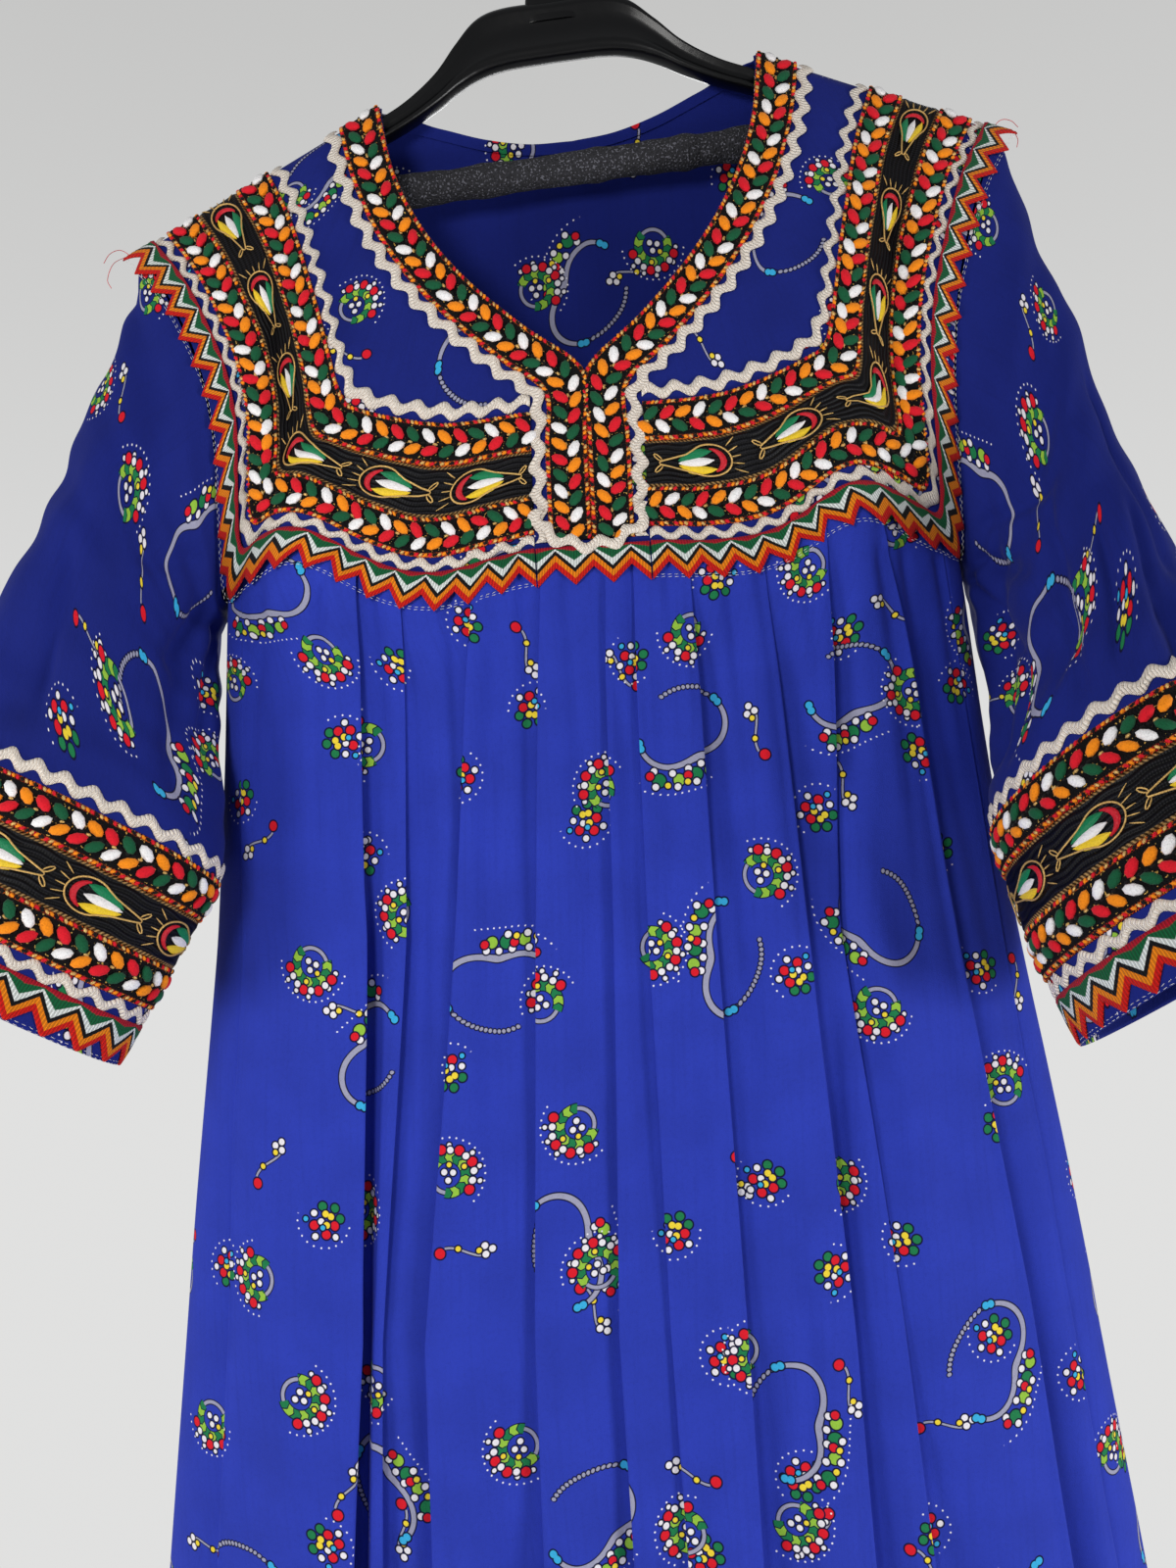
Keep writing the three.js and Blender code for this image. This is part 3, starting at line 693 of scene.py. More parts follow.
@dataclass(frozen=True)
class PrintedCrepe:
    """Matt blue crepe with a scattered print of open wreaths, scrolls, berries and stems.

    Attributes:
        name: Name of the material.
        ground: The cloth's blue.
        fades: Whether painted shade darkens the top of the piece, fading to light lower down.
        deep: A darker copy of the blue, painted shade for the bodice, the sleeves and the upper back.
        light: The blue without painted shade, as on the skirt.
        outline: Nearly black blue round every motif.
        leaf: Green of the leaves.
        lime: Yellow green of the leaves between them.
        sun: Yellow of the small beads.
        berry: Red of the berries.
        pale: White of the blossom.
        sky: Light blue of the knots.
        vine: Grey of the scrolls and stems.
    """

    name: str = "skirt_crepe"
    ground: Colour = tint(44, 62, 180)
    fades: bool = False
    # Painted shade: deep is a darker copy of the cloth's blue, light is the blue without it.
    deep: Colour = tint(24, 37, 124)
    light: Colour = tint(44, 62, 180)
    outline: Colour = tint(12, 12, 50)
    leaf: Colour = tint(30, 124, 74)
    lime: Colour = tint(150, 196, 66)
    sun: Colour = tint(244, 216, 60)
    berry: Colour = tint(222, 26, 42)
    pale: Colour = tint(238, 234, 240)
    sky: Colour = tint(58, 176, 226)
    vine: Colour = tint(160, 160, 184)

    def _spot(self, paint: Paint, size: float, turn: float, seed: float, share: float) -> Spot:
        """Places in the cells of a scatter, some of which stay empty.

        Args:
            paint: The material.
            size: Size of a cell.
            turn: Angle by which the whole scatter is turned.
            seed: Number that makes this scatter differ from the rest.
            share: Share of the cells that hold a motif.

        Returns:
            The places, turned and moved at random in each cell.
        """
        u, v = paint.uv()
        ahead, aside = 1000 * math.cos(turn) / size, 1000 * math.sin(turn) / size
        across = u * ahead + v * aside + seed
        along = v * ahead - u * aside + seed * 1.7
        column, row = across.call("FLOOR"), along.call("FLOOR")
        first, second, third = paint.dice(paint.vector(column, row, seed))
        out_of_reach, stray = 900.0, size * 0.26
        empty = (first * 7.31).call("FRACT").call("GREATER_THAN", share) * out_of_reach
        x = (across - column - 0.5) * size + (first - 0.5) * stray + empty
        y = (along - row - 0.5) * size + (second - 0.5) * stray
        angle = third * (2 * math.pi)
        cosine, sine = angle.call("COSINE"), angle.call("SINE")
        return Spot(paint, x * cosine + y * sine, y * cosine - x * sine)

    def _dots(self, spot: Spot, colour: Socket, *groups: Dots) -> Socket:
        """Lays groups of outlined dots."""
        for places, size, shade in groups:
            far = spot.dots(places)
            colour = spot.paint.layer(far.below(size + OUTLINE), colour, self.outline)
            colour = spot.paint.layer(far.below(size), colour, shade)
        return colour

    def _wreath(self, spot: Spot, colour: Socket) -> Socket:
        """Lays open wreaths of leaves with berries at one side."""
        paint = spot.paint
        line = (spot.radius - 8.0).call("ABSOLUTE")
        leafy = spot.arc(-128, 128)
        colour = paint.layer(line.below(1.35), colour, self.outline)
        colour = paint.layer(line.below(0.8), colour, self.vine)
        colour = paint.layer(line.below(2.6).both(leafy), colour, self.outline)
        wave = (spot.angle * 7.0 + line * 0.5).call("SINE")
        leaves = paint.layer(wave.call("GREATER_THAN", 0.0), self.leaf, self.lime)
        cut = wave.call("ABSOLUTE").call("GREATER_THAN", 0.24)
        colour = paint.layer(line.below(2.1).both(leafy).both(cut), colour, leaves)
        colour = self._dots(
            spot,
            colour,
            ([(14, 14.6), (-14, 14.6), (62, 13.4), (-40, 14.8), (96, 12.4)], 1.0, self.pale),
            ([(0, 12.2), (38, 12.0), (-62, 11.8), (80, 11.8)], 2.1, self.berry),
            ([(19, 11.6), (-20, 11.8), (-41, 11.4), (59, 11.2)], 1.5, self.pale),
            ([(0, 2.4), (120, 2.4), (240, 2.4)], 1.35, self.pale),
            ([(60, 4.6), (0, 8.2)], 1.1, self.sun),
        )
        beads = spot.string(spot.radius - 16.8, 16.8, 3.3, BEAD)
        return paint.layer(beads.both(spot.arc(-80, 100)), colour, self.pale)

    def _scroll(self, spot: Spot, colour: Socket) -> Socket:
        """Lays open scrolls with a beaded half, light blue knots and a crown of blossom."""
        paint = spot.paint
        bow = (spot.angle * 2.0 + SCROLL_PHASE).call("SINE") * SCROLL_BOW
        bend = bow + (spot.angle * 3.0).call("COSINE") * SCROLL_RIPPLE + SCROLL_REACH
        offset = spot.radius - bend
        line = offset.call("ABSOLUTE")
        stem, beads = spot.arc(-150, 40), spot.arc(44, 150)
        swell = (spot.angle * 1.3 + 1.2).call("COSINE") * 0.45 + 1.15
        colour = paint.layer(line.below(swell + 0.65).both(stem), colour, self.outline)
        colour = paint.layer(line.below(swell).both(stem), colour, self.vine)
        for size, shade in ((1.55, self.outline), (0.95, self.vine)):
            colour = paint.layer(spot.string(offset, SCROLL_REACH, 2.5, size).both(beads), colour, shade)

        def rim(degrees: float, out: float) -> tuple[float, float]:
            """A place beside the scroll's line."""
            turn = math.radians(degrees)
            bow = math.sin(2 * turn + SCROLL_PHASE) * SCROLL_BOW
            return degrees, SCROLL_REACH + bow + math.cos(3 * turn) * SCROLL_RIPPLE + out

        crown = (-118, -100, -82, -64, -46)
        colour = self._dots(
            spot,
            colour,
            ([rim(a, 7.2) for a in (-109, -73)], 3.0, self.leaf),
            ([rim(a, 7.4) for a in (-91, -55)], 2.6, self.lime),
            ([rim(a, 3.4) for a in crown], 1.5, self.pale),
            ([rim(a, 6.4) for a in crown[::2]], 1.8, self.berry),
            ([rim(a, 10.6) for a in (-109, -91, -73)], 1.5, self.pale),
            ([rim(a, 9.4) for a in (-100, -82)], 1.3, self.sun),
            ([rim(42, 0.4), rim(36, 0.2), rim(-150, 0), rim(-144, 0)], 1.7, self.sky),
        )
        fine = spot.string(offset - 14.0, 35.0, 3.4, BEAD)
        return paint.layer(fine.both(spot.arc(-124, -40)), colour, self.pale)

    def _berries(self, spot: Spot, colour: Socket) -> Socket:
        """Lays small heads of berries, leaves and beads."""
        colour = self._dots(
            spot,
            colour,
            ([(200, 7.6), (160, 7.8), (250, 6.2)], 1.9, self.leaf),
            ([(0, 5.2), (128, 5.6), (72, 6.6)], 2.0, self.berry),
            ([(34, 8.4), (100, 9.2), (300, 5.6), (0, 1.6)], 1.4, self.pale),
            ([(90, 2.6), (180, 3.6), (230, 2.8)], 1.5, self.sun),
            ([(330, 8.6), (52, 3.6)], 1.1, self.sky),
        )
        beads = spot.string(spot.radius - 12.6, 12.6, 3.6, BEAD)
        return spot.paint.layer(beads.both(spot.arc(-40, 150)), colour, self.pale)

    def _stem(self, spot: Spot, colour: Socket) -> Socket:
        """Lays bent stems with a berry at the tip and beads at the foot."""
        paint = spot.paint
        bend = (spot.x - (spot.y * 0.2).call("SINE") * 2.4).call("ABSOLUTE")
        held = spot.y.call("ABSOLUTE").below(10.0)
        colour = paint.layer(bend.below(1.0).both(held), colour, self.outline)
        colour = paint.layer(bend.below(0.5, 0.25).both(held), colour, self.vine)
        return self._dots(
            spot,
            colour,
            ([(90, 12.2)], 2.3, self.berry),
            ([(-90, 11.6), (-78, 8.4), (-104, 8.8)], 1.5, self.pale),
            ([(-90, 5.6), (64, 4.2)], 1.2, self.sun),
        )

    def material(self) -> Material:
        """The cloth's material, on coordinates in metres along the cloth."""
        paint = Paint(self.name, 0.85, Sheen_Weight=0.04, Sheen_Roughness=0.4, Specular_IOR_Level=0.15)
        u, v = paint.uv()
        flat = paint.vector(u, v)
        shade = tuple(0.74 * c for c in self.ground)
        ground: Socket | Colour = self.ground
        # Painted shade: the top of the piece takes the darker blue, which fades out about 0.86 m above the hem.
        if self.fades:
            ground = paint.layer((v * -1).below(-0.86, 0.3), self.light, self.deep)
        mottle = paint.noise(flat, 30.0, 4.0)
        colour = paint.layer((mottle - 0.35) * 1.6, ground, shade)
        streak = paint.noise(paint.vector(u * 30.0, v), 14.0, 3.0)
        colour = paint.layer((streak - 0.5) * 1.4, colour, shade)
        colour = self._stem(self._spot(paint, 68.0, -0.35, 11.0, 0.42), colour)
        colour = self._berries(self._spot(paint, 61.0, 0.5, 3.0, 0.4), colour)
        colour = self._scroll(self._spot(paint, 112.0, 0.15, 5.0, 0.72), colour)
        colour = self._wreath(self._spot(paint, 66.0, 0.28, 7.0, 0.6), colour)
        crepe = paint.noise(flat, 2100.0, 1.0) * 0.6 + paint.noise(flat, 520.0, 2.0) * 0.4
        colour = paint.layer((crepe - 0.5) * 0.9, colour, self.outline)
        return paint.finish(colour, crepe, 0.0003)


@dataclass(frozen=True)
class Yarn:
    """Soft wool in one colour.

    Attributes:
        name: Name of the material.
        colour: The wool's colour.
        rough: Its roughness.
        metal: How metallic it is, for lurex.
    """

    name: str
    colour: Colour
    rough: float = 0.85
    metal: float = 0.0

    def material(self) -> Material:
        """The wool's material, with fine hairs."""
        paint = Paint(self.name, self.rough, Metallic=self.metal, Sheen_Weight=0.08, Specular_IOR_Level=0.25)
        hairs = paint.noise(paint.place(), 1400.0, 2.0)
        dark = tuple(c * 0.55 for c in self.colour)
        return paint.finish(paint.layer((hairs - 0.45) * 1.6, self.colour, dark), hairs, 0.00035)


@dataclass(frozen=True)
class Striped:
    """A woven band whose colour goes by its two coordinates: metres along it and 0 to 1 across it.

    Attributes:
        name: Name of the material.
        rows: Where each colour across the band ends, and the colour.
        pitch: Length of a stitch along the band, in metres.
        relief: Height of the stitches, in metres.
    """

    name: str
    rows: Sequence[tuple[float, Colour]]
    pitch: float = 0.0013
    relief: float = 0.0004

    def material(self) -> Material:
        """The band's material."""
        paint = Paint(self.name, 0.8, Sheen_Weight=0.05, Specular_IOR_Level=0.2)
        along, across = paint.uv()
        colour: Socket | Colour = self.rows[-1][1]
        ragged = across + (paint.noise(paint.vector(along, across * 0.004), 900.0) - 0.5) * 0.035
        for end, shade in reversed(self.rows[:-1]):
            colour = paint.layer(ragged.below(end, 0.02), colour, shade)
        stitch = (along * (2 * math.pi / self.pitch) + across * 9.0).call("SINE") * 0.5 + 0.5
        # Painted shade: darker in the grooves between the stitches, where the relief is low.
        colour = paint.layer((stitch * -1 + 1.0) * 0.45, colour, tint(18, 12, 16))
        return paint.finish(colour, stitch, self.relief)


def braid_ground() -> Material:
    """Black knitted yarn, flecked with gold down the middle and with orange at the edges."""
    paint = Paint("braid_ground", 0.85, Specular_IOR_Level=0.2)
    along, across = paint.uv()
    knit = (along * 4800 + (across * 60).call("SINE") * 1.4).call("SINE") * 0.5 + 0.5
    fleck = paint.noise(paint.vector(along, across * 0.02), 620.0, 1.0)
    chain = paint.noise(paint.vector(along, across * 0.02, 0.3), 900.0, 1.0)
    colour = paint.layer(fleck.call("GREATER_THAN", 0.67), tint(9, 8, 10), tint(206, 164, 82))
    edge = ((across - 0.5).call("ABSOLUTE") * -1).below(-0.4, 0.04)
    rim = paint.layer(chain.call("GREATER_THAN", 0.53), tint(16, 10, 12), tint(236, 112, 30))
    rim = paint.layer(chain.call("LESS_THAN", 0.42), rim, tint(196, 24, 30))
    return paint.finish(paint.layer(edge, colour, rim), knit, 0.0004)


def ribbon_ground() -> Material:
    """Black ribbon with waving ribs, a painted highlight on the ribs' tops and gold-brown corded edges."""
    paint = Paint("ribbon_ground", 0.45, Specular_IOR_Level=0.18)
    along, across = paint.uv()
    rib = (across * 56 + (along * 330).call("SINE") * 1.3).call("SINE") * 0.5 + 0.5
    grain = (along * 5200).call("SINE") * 0.5 + 0.5
    # Painted highlight: the ribs' tops are lighter than the black between them.
    colour = paint.layer(rib * 0.8, tint(5, 5, 7), tint(22, 22, 27))
    edge = (across - 0.5).call("ABSOLUTE")
    cord = (edge * -1).below(-0.447, 0.02)
    twist = (along * 3100 + across * 60).call("SINE") * 0.5 + 0.5
    colour = paint.layer(cord, colour, paint.layer(twist, tint(52, 34, 18), tint(190, 150, 92)))
    return paint.finish(colour, rib * 0.8 + grain * 0.15 + twist * cord * 0.6, 0.0008)


def rickrack_weave() -> Material:
    """Cream rickrack with a herringbone of silvery thread."""
    paint = Paint("rickrack_weave", 0.5, Sheen_Weight=0.15)
    along, across = paint.uv()
    slant = (across - 0.5).call("ABSOLUTE") * 11.0
    rib = (along * 4300 + slant).call("SINE") * 0.5 + 0.5
    spark = paint.noise(paint.vector(along, across * 0.006), 1700.0, 1.0)
    colour = paint.layer(rib * 0.5, tint(255, 246, 234), tint(224, 202, 178))
    colour = paint.layer(spark.call("GREATER_THAN", 0.64) * 0.75, colour, tint(160, 138, 112))
    return paint.finish(colour, rib, 0.0006)


def gloss_plastic() -> Material:
    """Black moulded plastic, shiny with a faint orange peel."""
    paint = Paint("hanger_black", 0.3, Specular_IOR_Level=0.35)
    peel = paint.noise(paint.place(), 160.0, 2.0)
    return paint.finish(paint.layer(peel * 0.5, tint(3, 3, 4), tint(9, 9, 11)), peel, 0.00012)


def bar_foam() -> Material:
    """Dark open foam with bright specks where its cells catch the light."""
    paint = Paint("bar_foam", 0.9)
    cells = paint.node("ShaderNodeTexVoronoi")
    paint.plug(cells.inputs["Vector"], paint.place())
    cells.inputs["Scale"].default_value = 900.0
    grit = Field(paint, cells.outputs["Distance"])
    spark = paint.noise(paint.place(), 1100.0, 0.0).call("GREATER_THAN", 0.66)
    colour = paint.layer(spark * 0.6, paint.layer(grit, tint(16, 16, 19), tint(46, 46, 52)), tint(120, 120, 130))
    return paint.finish(colour, grit, 0.0006)


class Finishes:
    """Every material of the object, made once."""

    def __init__(self) -> None:
        """Makes the materials."""
        self.skirt = PrintedCrepe().material()
        # Painted shade: the bodice, the sleeves and the back take a darker copy of the skirt's crepe; on the back it
        # fades out down the piece.
        self.bodice = PrintedCrepe("bodice_crepe", PrintedCrepe.deep).material()
        self.back = PrintedCrepe("back_crepe", PrintedCrepe.deep, fades=True).material()
        wools = {"white": (250, 248, 248), "red": (226, 20, 40), "green": (12, 88, 54), "orange": (255, 146, 18)}
        self.leaves = [Yarn(f"wool_{word}", tint(*shade)).material() for word, shade in wools.items()]
        _, red, _, orange = self.leaves
        black = Yarn("wool_black", tint(12, 10, 12)).material()
        gold = Yarn("lurex_gold", tint(222, 180, 106), 0.4, 0.35).material()
        self.bits = [orange, red, black, gold]
        silks = {"green": (8, 124, 78), "white": (244, 240, 240), "yellow": (244, 206, 44), "red": (206, 26, 44)}
        self.satin = {word: Yarn(f"silk_{word}", tint(*shade), 0.4).material() for word, shade in silks.items()}
        self.satin["gold"] = gold
        self.thread = Yarn("stitch_white", tint(236, 234, 230), 0.6).material()
        self.braid = braid_ground()
        self.ribbon = ribbon_ground()
        self.rickrack = rickrack_weave()
        self.zigzag = Striped(
            "zigzag_rows",
            [
                (0.12, tint(186, 12, 40)),
                (0.29, tint(8, 100, 56)),
                (0.44, tint(244, 250, 246)),
                (0.59, tint(5, 5, 7)),
                (0.79, tint(255, 142, 10)),
                (1.0, tint(222, 22, 12)),
            ],
        ).material()
        self.plastic = gloss_plastic()
        self.foam = bar_foam()


# ---- Lanes: where a trim runs ------------------------------------------------------------------
Place = Callable[[Array, Array], tuple[Array, Array]]


class Lane:
    """A strip of cloth along which a trim is sewn, with real lengths along it."""

    SAMPLES = 900

    def __init__(self, place: Place, start: float, end: float, closed: bool) -> None:
        """Measures the strip.

        Args:
            place: Gives points and normals from a share along and a share across the cloth.
            start: Share across the cloth at which the strip starts.
            end: Share at which it ends.
            closed: Whether the strip's end is its beginning.
        """
        self.place, self.start, self.end, self.closed = place, start, end, closed
        self._share = np.linspace(0, 1, self.SAMPLES)
        middle, _ = place(self._share, np.full(self.SAMPLES, (start + end) / 2))
        steps = np.linalg.norm(np.diff(middle, axis=0), axis=1)
        self._run = np.concatenate([[0], np.cumsum(steps)])
        self.length = float(self._run[-1])
        low, _ = place(self._share, np.full(self.SAMPLES, start))
        high, _ = place(self._share, np.full(self.SAMPLES, end))
        self._width = np.linalg.norm(high - low, axis=1)

    def at(self, along: Array, across: Array, lift: Array | float) -> Array:
        """Points of the strip.

        Args:
            along: Millimetres along it.
            across: Share from 0 to 1 across it.
            lift: Millimetres above the cloth.

        Returns:
            Points with a last axis of three.
        """
        along, across, lift = np.broadcast_arrays(along, across, lift)
        share = np.interp(along % self.length if self.closed else along, self._run, self._share)
        points, normals = self.place(share, mix(self.start, self.end, across))
        return points + normals * lift[..., None]

    def width(self, along: Array) -> Array:
        """Width of the strip in millimetres at each length along it."""
        return np.interp(along % self.length if self.closed else along, self._run, self._width)

    def fit(self, pitch: float) -> tuple[int, float]:
        """How many whole steps of about the pitch fit, and their exact length."""
        count = max(1, round(self.length / pitch))
        return count, self.length / count


@dataclass
class Band:
    """A sewn-on strip with its own cross section.

    Attributes:
        name: Name of the piece.
        lane: Where it runs.
        material: Its material.
        heights: Heights above its underside, evenly spread across it.
        lay: Height of its underside above the cloth.
        step: Length of one row of faces.
        wave: Gives the sideways shift in millimetres for a length along and a share across.
        per_wave: Rows of faces in one whole wave, and a wave's length, in place of the step.
    """

    name: str
    lane: Lane
    material: Material
    heights: Sequence[float]
    lay: float = 0.3
    step: float = 2.2
    wave: Callable[[Array, Array], Array] | None = None
    per_wave: tuple[int, float] | None = None

    def build(self) -> Object:
        """The strip as one closed mesh."""
        rows = max(8, round(self.lane.length / self.step))
        if self.per_wave:
            rows = round(self.lane.length / self.per_wave[1]) * self.per_wave[0]
        across = np.linspace(0, 1, len(self.heights))
        loop = np.concatenate([across, across[::-1]])
        lift = self.lay + np.concatenate([np.array(self.heights), np.zeros(len(across))])
        along = np.linspace(0, self.lane.length, rows + 1)[:, None]
        if self.lane.closed:
            along = along[:-1]
        side = np.broadcast_to(loop, (len(along), len(loop)))
        if self.wave is not None:
            side = side + self.wave(along, side) / self.lane.width(along)
        points = self.lane.at(along, side, lift)
        high, wide = points.shape[:2]
        r, c = np.meshgrid(np.arange(high if self.lane.closed else high - 1), np.arange(wide), indexing="ij")
        faces = np.stack([((r + i) % high) * wide + (c + j) % wide for i, j in QUAD], axis=-1).reshape(-1, 4)
        spot = np.linspace(0, self.lane.length * MM, rows + 1)
        places = np.stack(
            [np.stack([spot[r + i], loop[(c + j) % wide] + 0 * r], axis=-1) for i, j in QUAD], axis=-2
        ).reshape(-1, 2)
        if not self.lane.closed:
            half = len(across)
            caps, cap_places = [], []
            for row, order in ((0, 1), (high - 1, -1)):
                for k in range(half - 1):
                    quad = [k, wide - 1 - k, wide - 2 - k, k + 1][::order]
                    caps.append([row * wide + q for q in quad])
                    cap_places += [(spot[row if row == 0 else rows], loop[q]) for q in quad]
            faces = np.vstack([faces, np.array(caps)])
            places = np.vstack([places, np.array(cap_places)])
        made = object_from(self.name, points.reshape(-1, 3), faces, places, [self.material])
        return outward(made)


def outward(piece: Object) -> Object:
    """The piece with every face turned outwards, if its volume says that they point in."""
    mesh = piece.data
    co = np.zeros(len(mesh.vertices) * 3, np.float32)
    mesh.vertices.foreach_get("co", co)
    co = co.reshape(-1, 3).astype(float)
    mesh.calc_loop_triangles()
    index = np.zeros(len(mesh.loop_triangles) * 3, np.int32)
    mesh.loop_triangles.foreach_get("vertices", index)
    a, b, c = (co[index.reshape(-1, 3)[:, k]] for k in range(3))
    if np.einsum("ij,ij->i", a, np.cross(b, c)).sum() < 0:
        mesh.flip_normals()
    return piece


# ---- Repeats made by geometry nodes ------------------------------------------------------------
@dataclass
class Tufts:
    """Small rounded tufts of yarn or thread, set on points by geometry nodes.

    Attributes:
        name: Name of the piece.
        long: Length of a tuft in millimetres.
        wide: Its width.
        high: Its height.
        materials: One material for each tone.
        segments: Faces round a tuft.
        rings: Faces along a tuft.
    """

    name: str
    long: float
    wide: float
    high: float
    materials: Sequence[Material]
    segments: int = 8
    rings: int = 6
    points: list[Array] = field(default_factory=list)
    normals: list[Array] = field(default_factory=list)
    heads: list[Array] = field(default_factory=list)
    tones: list[Array] = field(default_factory=list)

    def row(
        self, lane: Lane, across: float, pitch: float, slant: float, tones: Sequence[int], shift: float, lift: float
    ) -> None:
        """Adds a row of tufts along a lane.

        Args:
            lane: Where the row runs.
            across: Share across the lane.
            pitch: Distance between tufts in millimetres.
            slant: Angle of a tuft to the lane, in degrees.
            tones: Tones that the tufts take in turn.
            shift: Distance by which the row starts later, in pitches.
            lift: Height of a tuft's middle above the cloth.
        """
        count, step = lane.fit(pitch)
        along = (np.arange(count) + 0.5 + shift) * step
        along = along % lane.length if lane.closed else along[(along > 0) & (along < lane.length)]
        middle = lane.at(along, across, lift)
        ahead = lane.at(along + 0.5, across, lift) - lane.at(along - 0.5, across, lift)
        aside = lane.at(along, across + 0.02, lift) - lane.at(along, across - 0.02, lift)
        up = lane.at(along, across, lift + 1.0) - middle
        ahead /= np.linalg.norm(ahead, axis=1, keepdims=True) + 1e-9
        aside /= np.linalg.norm(aside, axis=1, keepdims=True) + 1e-9
        uneven = np.random.default_rng(len(self.points)).normal(0.0, 0.13, (len(along), 1))
        angle = math.radians(slant) + uneven
        self.points.append(middle + up * uneven * 0.8)
        self.normals.append(up)
        self.heads.append(ahead * np.cos(angle) + aside * np.sin(angle))
        self.tones.append(np.array([tones[k % len(tones)] for k in range(len(along))]))

    def _tree(self) -> bpy.types.NodeTree:
        """The node tree that sets a tuft on each point."""
        tree = bpy.data.node_groups.new(self.name + "_tree", "GeometryNodeTree")
        tree.interface.new_socket("Geometry", in_out="INPUT", socket_type="NodeSocketGeometry")
        for word in ("Long", "Wide", "High"):
            tree.interface.new_socket(word, in_out="INPUT", socket_type="NodeSocketFloat")
        tree.interface.new_socket("Geometry", in_out="OUTPUT", socket_type="NodeSocketGeometry")
        new, join = tree.nodes.new, tree.links.new
        entry, leave = new("NodeGroupInput"), new("NodeGroupOutput")
        ball = new("GeometryNodeMeshUVSphere")
        ball.inputs["Segments"].default_value = self.segments
        ball.inputs["Rings"].default_value = self.rings
        ball.inputs["Radius"].default_value = 0.5
        size = new("ShaderNodeCombineXYZ")
        for k, word in enumerate(("Long", "Wide", "High")):
            join(entry.outputs[word], size.inputs[k])
        shaped = new("GeometryNodeTransform")
        join(ball.outputs["Mesh"], shaped.inputs["Geometry"])
        join(size.outputs[0], shaped.inputs["Scale"])
        turn = new("FunctionNodeAxesToRotation")
        turn.primary_axis, turn.secondary_axis = "Z", "X"
        for word, socket in (("up", turn.inputs[0]), ("head", turn.inputs[1])):
            read = new("GeometryNodeInputNamedAttribute")
            read.data_type = "FLOAT_VECTOR"
            read.inputs["Name"].default_value = word
            join(read.outputs["Attribute"], socket)
        put = new("GeometryNodeInstanceOnPoints")
        join(entry.outputs["Geometry"], put.inputs["Points"])
        join(shaped.outputs[0], put.inputs["Instance"])
        join(turn.outputs[0], put.inputs["Rotation"])
        real = new("GeometryNodeRealizeInstances")
        join(put.outputs[0], real.inputs[0])
        soft = new("GeometryNodeSetShadeSmooth")
        join(real.outputs[0], soft.inputs[0])
        last = soft.outputs[0]
        tone = new("GeometryNodeInputNamedAttribute")
        tone.data_type = "INT"
        tone.inputs["Name"].default_value = "tone"
        for k, material in enumerate(self.materials):
            same = new("FunctionNodeCompare")
            same.data_type, same.operation = "INT", "EQUAL"
            whole = [s for s in same.inputs if s.type == "INT" and s.enabled]
            join(tone.outputs["Attribute"], whole[0])
            whole[1].default_value = k
            dress = new("GeometryNodeSetMaterial")
            dress.inputs["Material"].default_value = material
            join(last, dress.inputs["Geometry"])
            join(same.outputs[0], dress.inputs["Selection"])
            last = dress.outputs[0]
        join(last, leave.inputs[0])
        return tree

    def build(self) -> Object:
        """All the tufts as one plain mesh."""
        points, normals, heads = (np.vstack(part) for part in (self.points, self.normals, self.heads))
        seeds = bpy.data.meshes.new(self.name + "_seeds")
        seeds.vertices.add(len(points))
        seeds.vertices.foreach_set("co", (points * MM).astype(np.float32).ravel())
        for word, values in (("up", normals), ("head", heads)):
            arrows = seeds.attributes.new(word, "FLOAT_VECTOR", "POINT")
            arrows.data.foreach_set("vector", values.astype(np.float32).ravel())
        tones = seeds.attributes.new("tone", "INT", "POINT")
        tones.data.foreach_set("value", np.concatenate(self.tones).astype(np.int32))
        seeds.update()
        holder = bpy.data.objects.new(self.name + "_holder", seeds)
        bpy.context.scene.collection.objects.link(holder)
        modifier = holder.modifiers.new("tufts", "NODES")
        tree = self._tree()
        modifier.node_group = tree
        sizes = {"Long": self.long, "Wide": self.wide, "High": self.high}
        for item in tree.interface.items_tree:
            if item.item_type == "SOCKET" and item.in_out == "INPUT" and item.name in sizes:
                modifier[item.identifier] = sizes[item.name] * MM
        shown = holder.evaluated_get(bpy.context.evaluated_depsgraph_get())
        mesh = bpy.data.meshes.new_from_object(shown)
        bpy.data.objects.remove(holder)
        mesh.name = self.name
        for word in ("up", "head", "tone"):
            if word in mesh.attributes:
                mesh.attributes.remove(mesh.attributes[word])
        made = bpy.data.objects.new(self.name, mesh)
        bpy.context.scene.collection.objects.link(made)
        return made


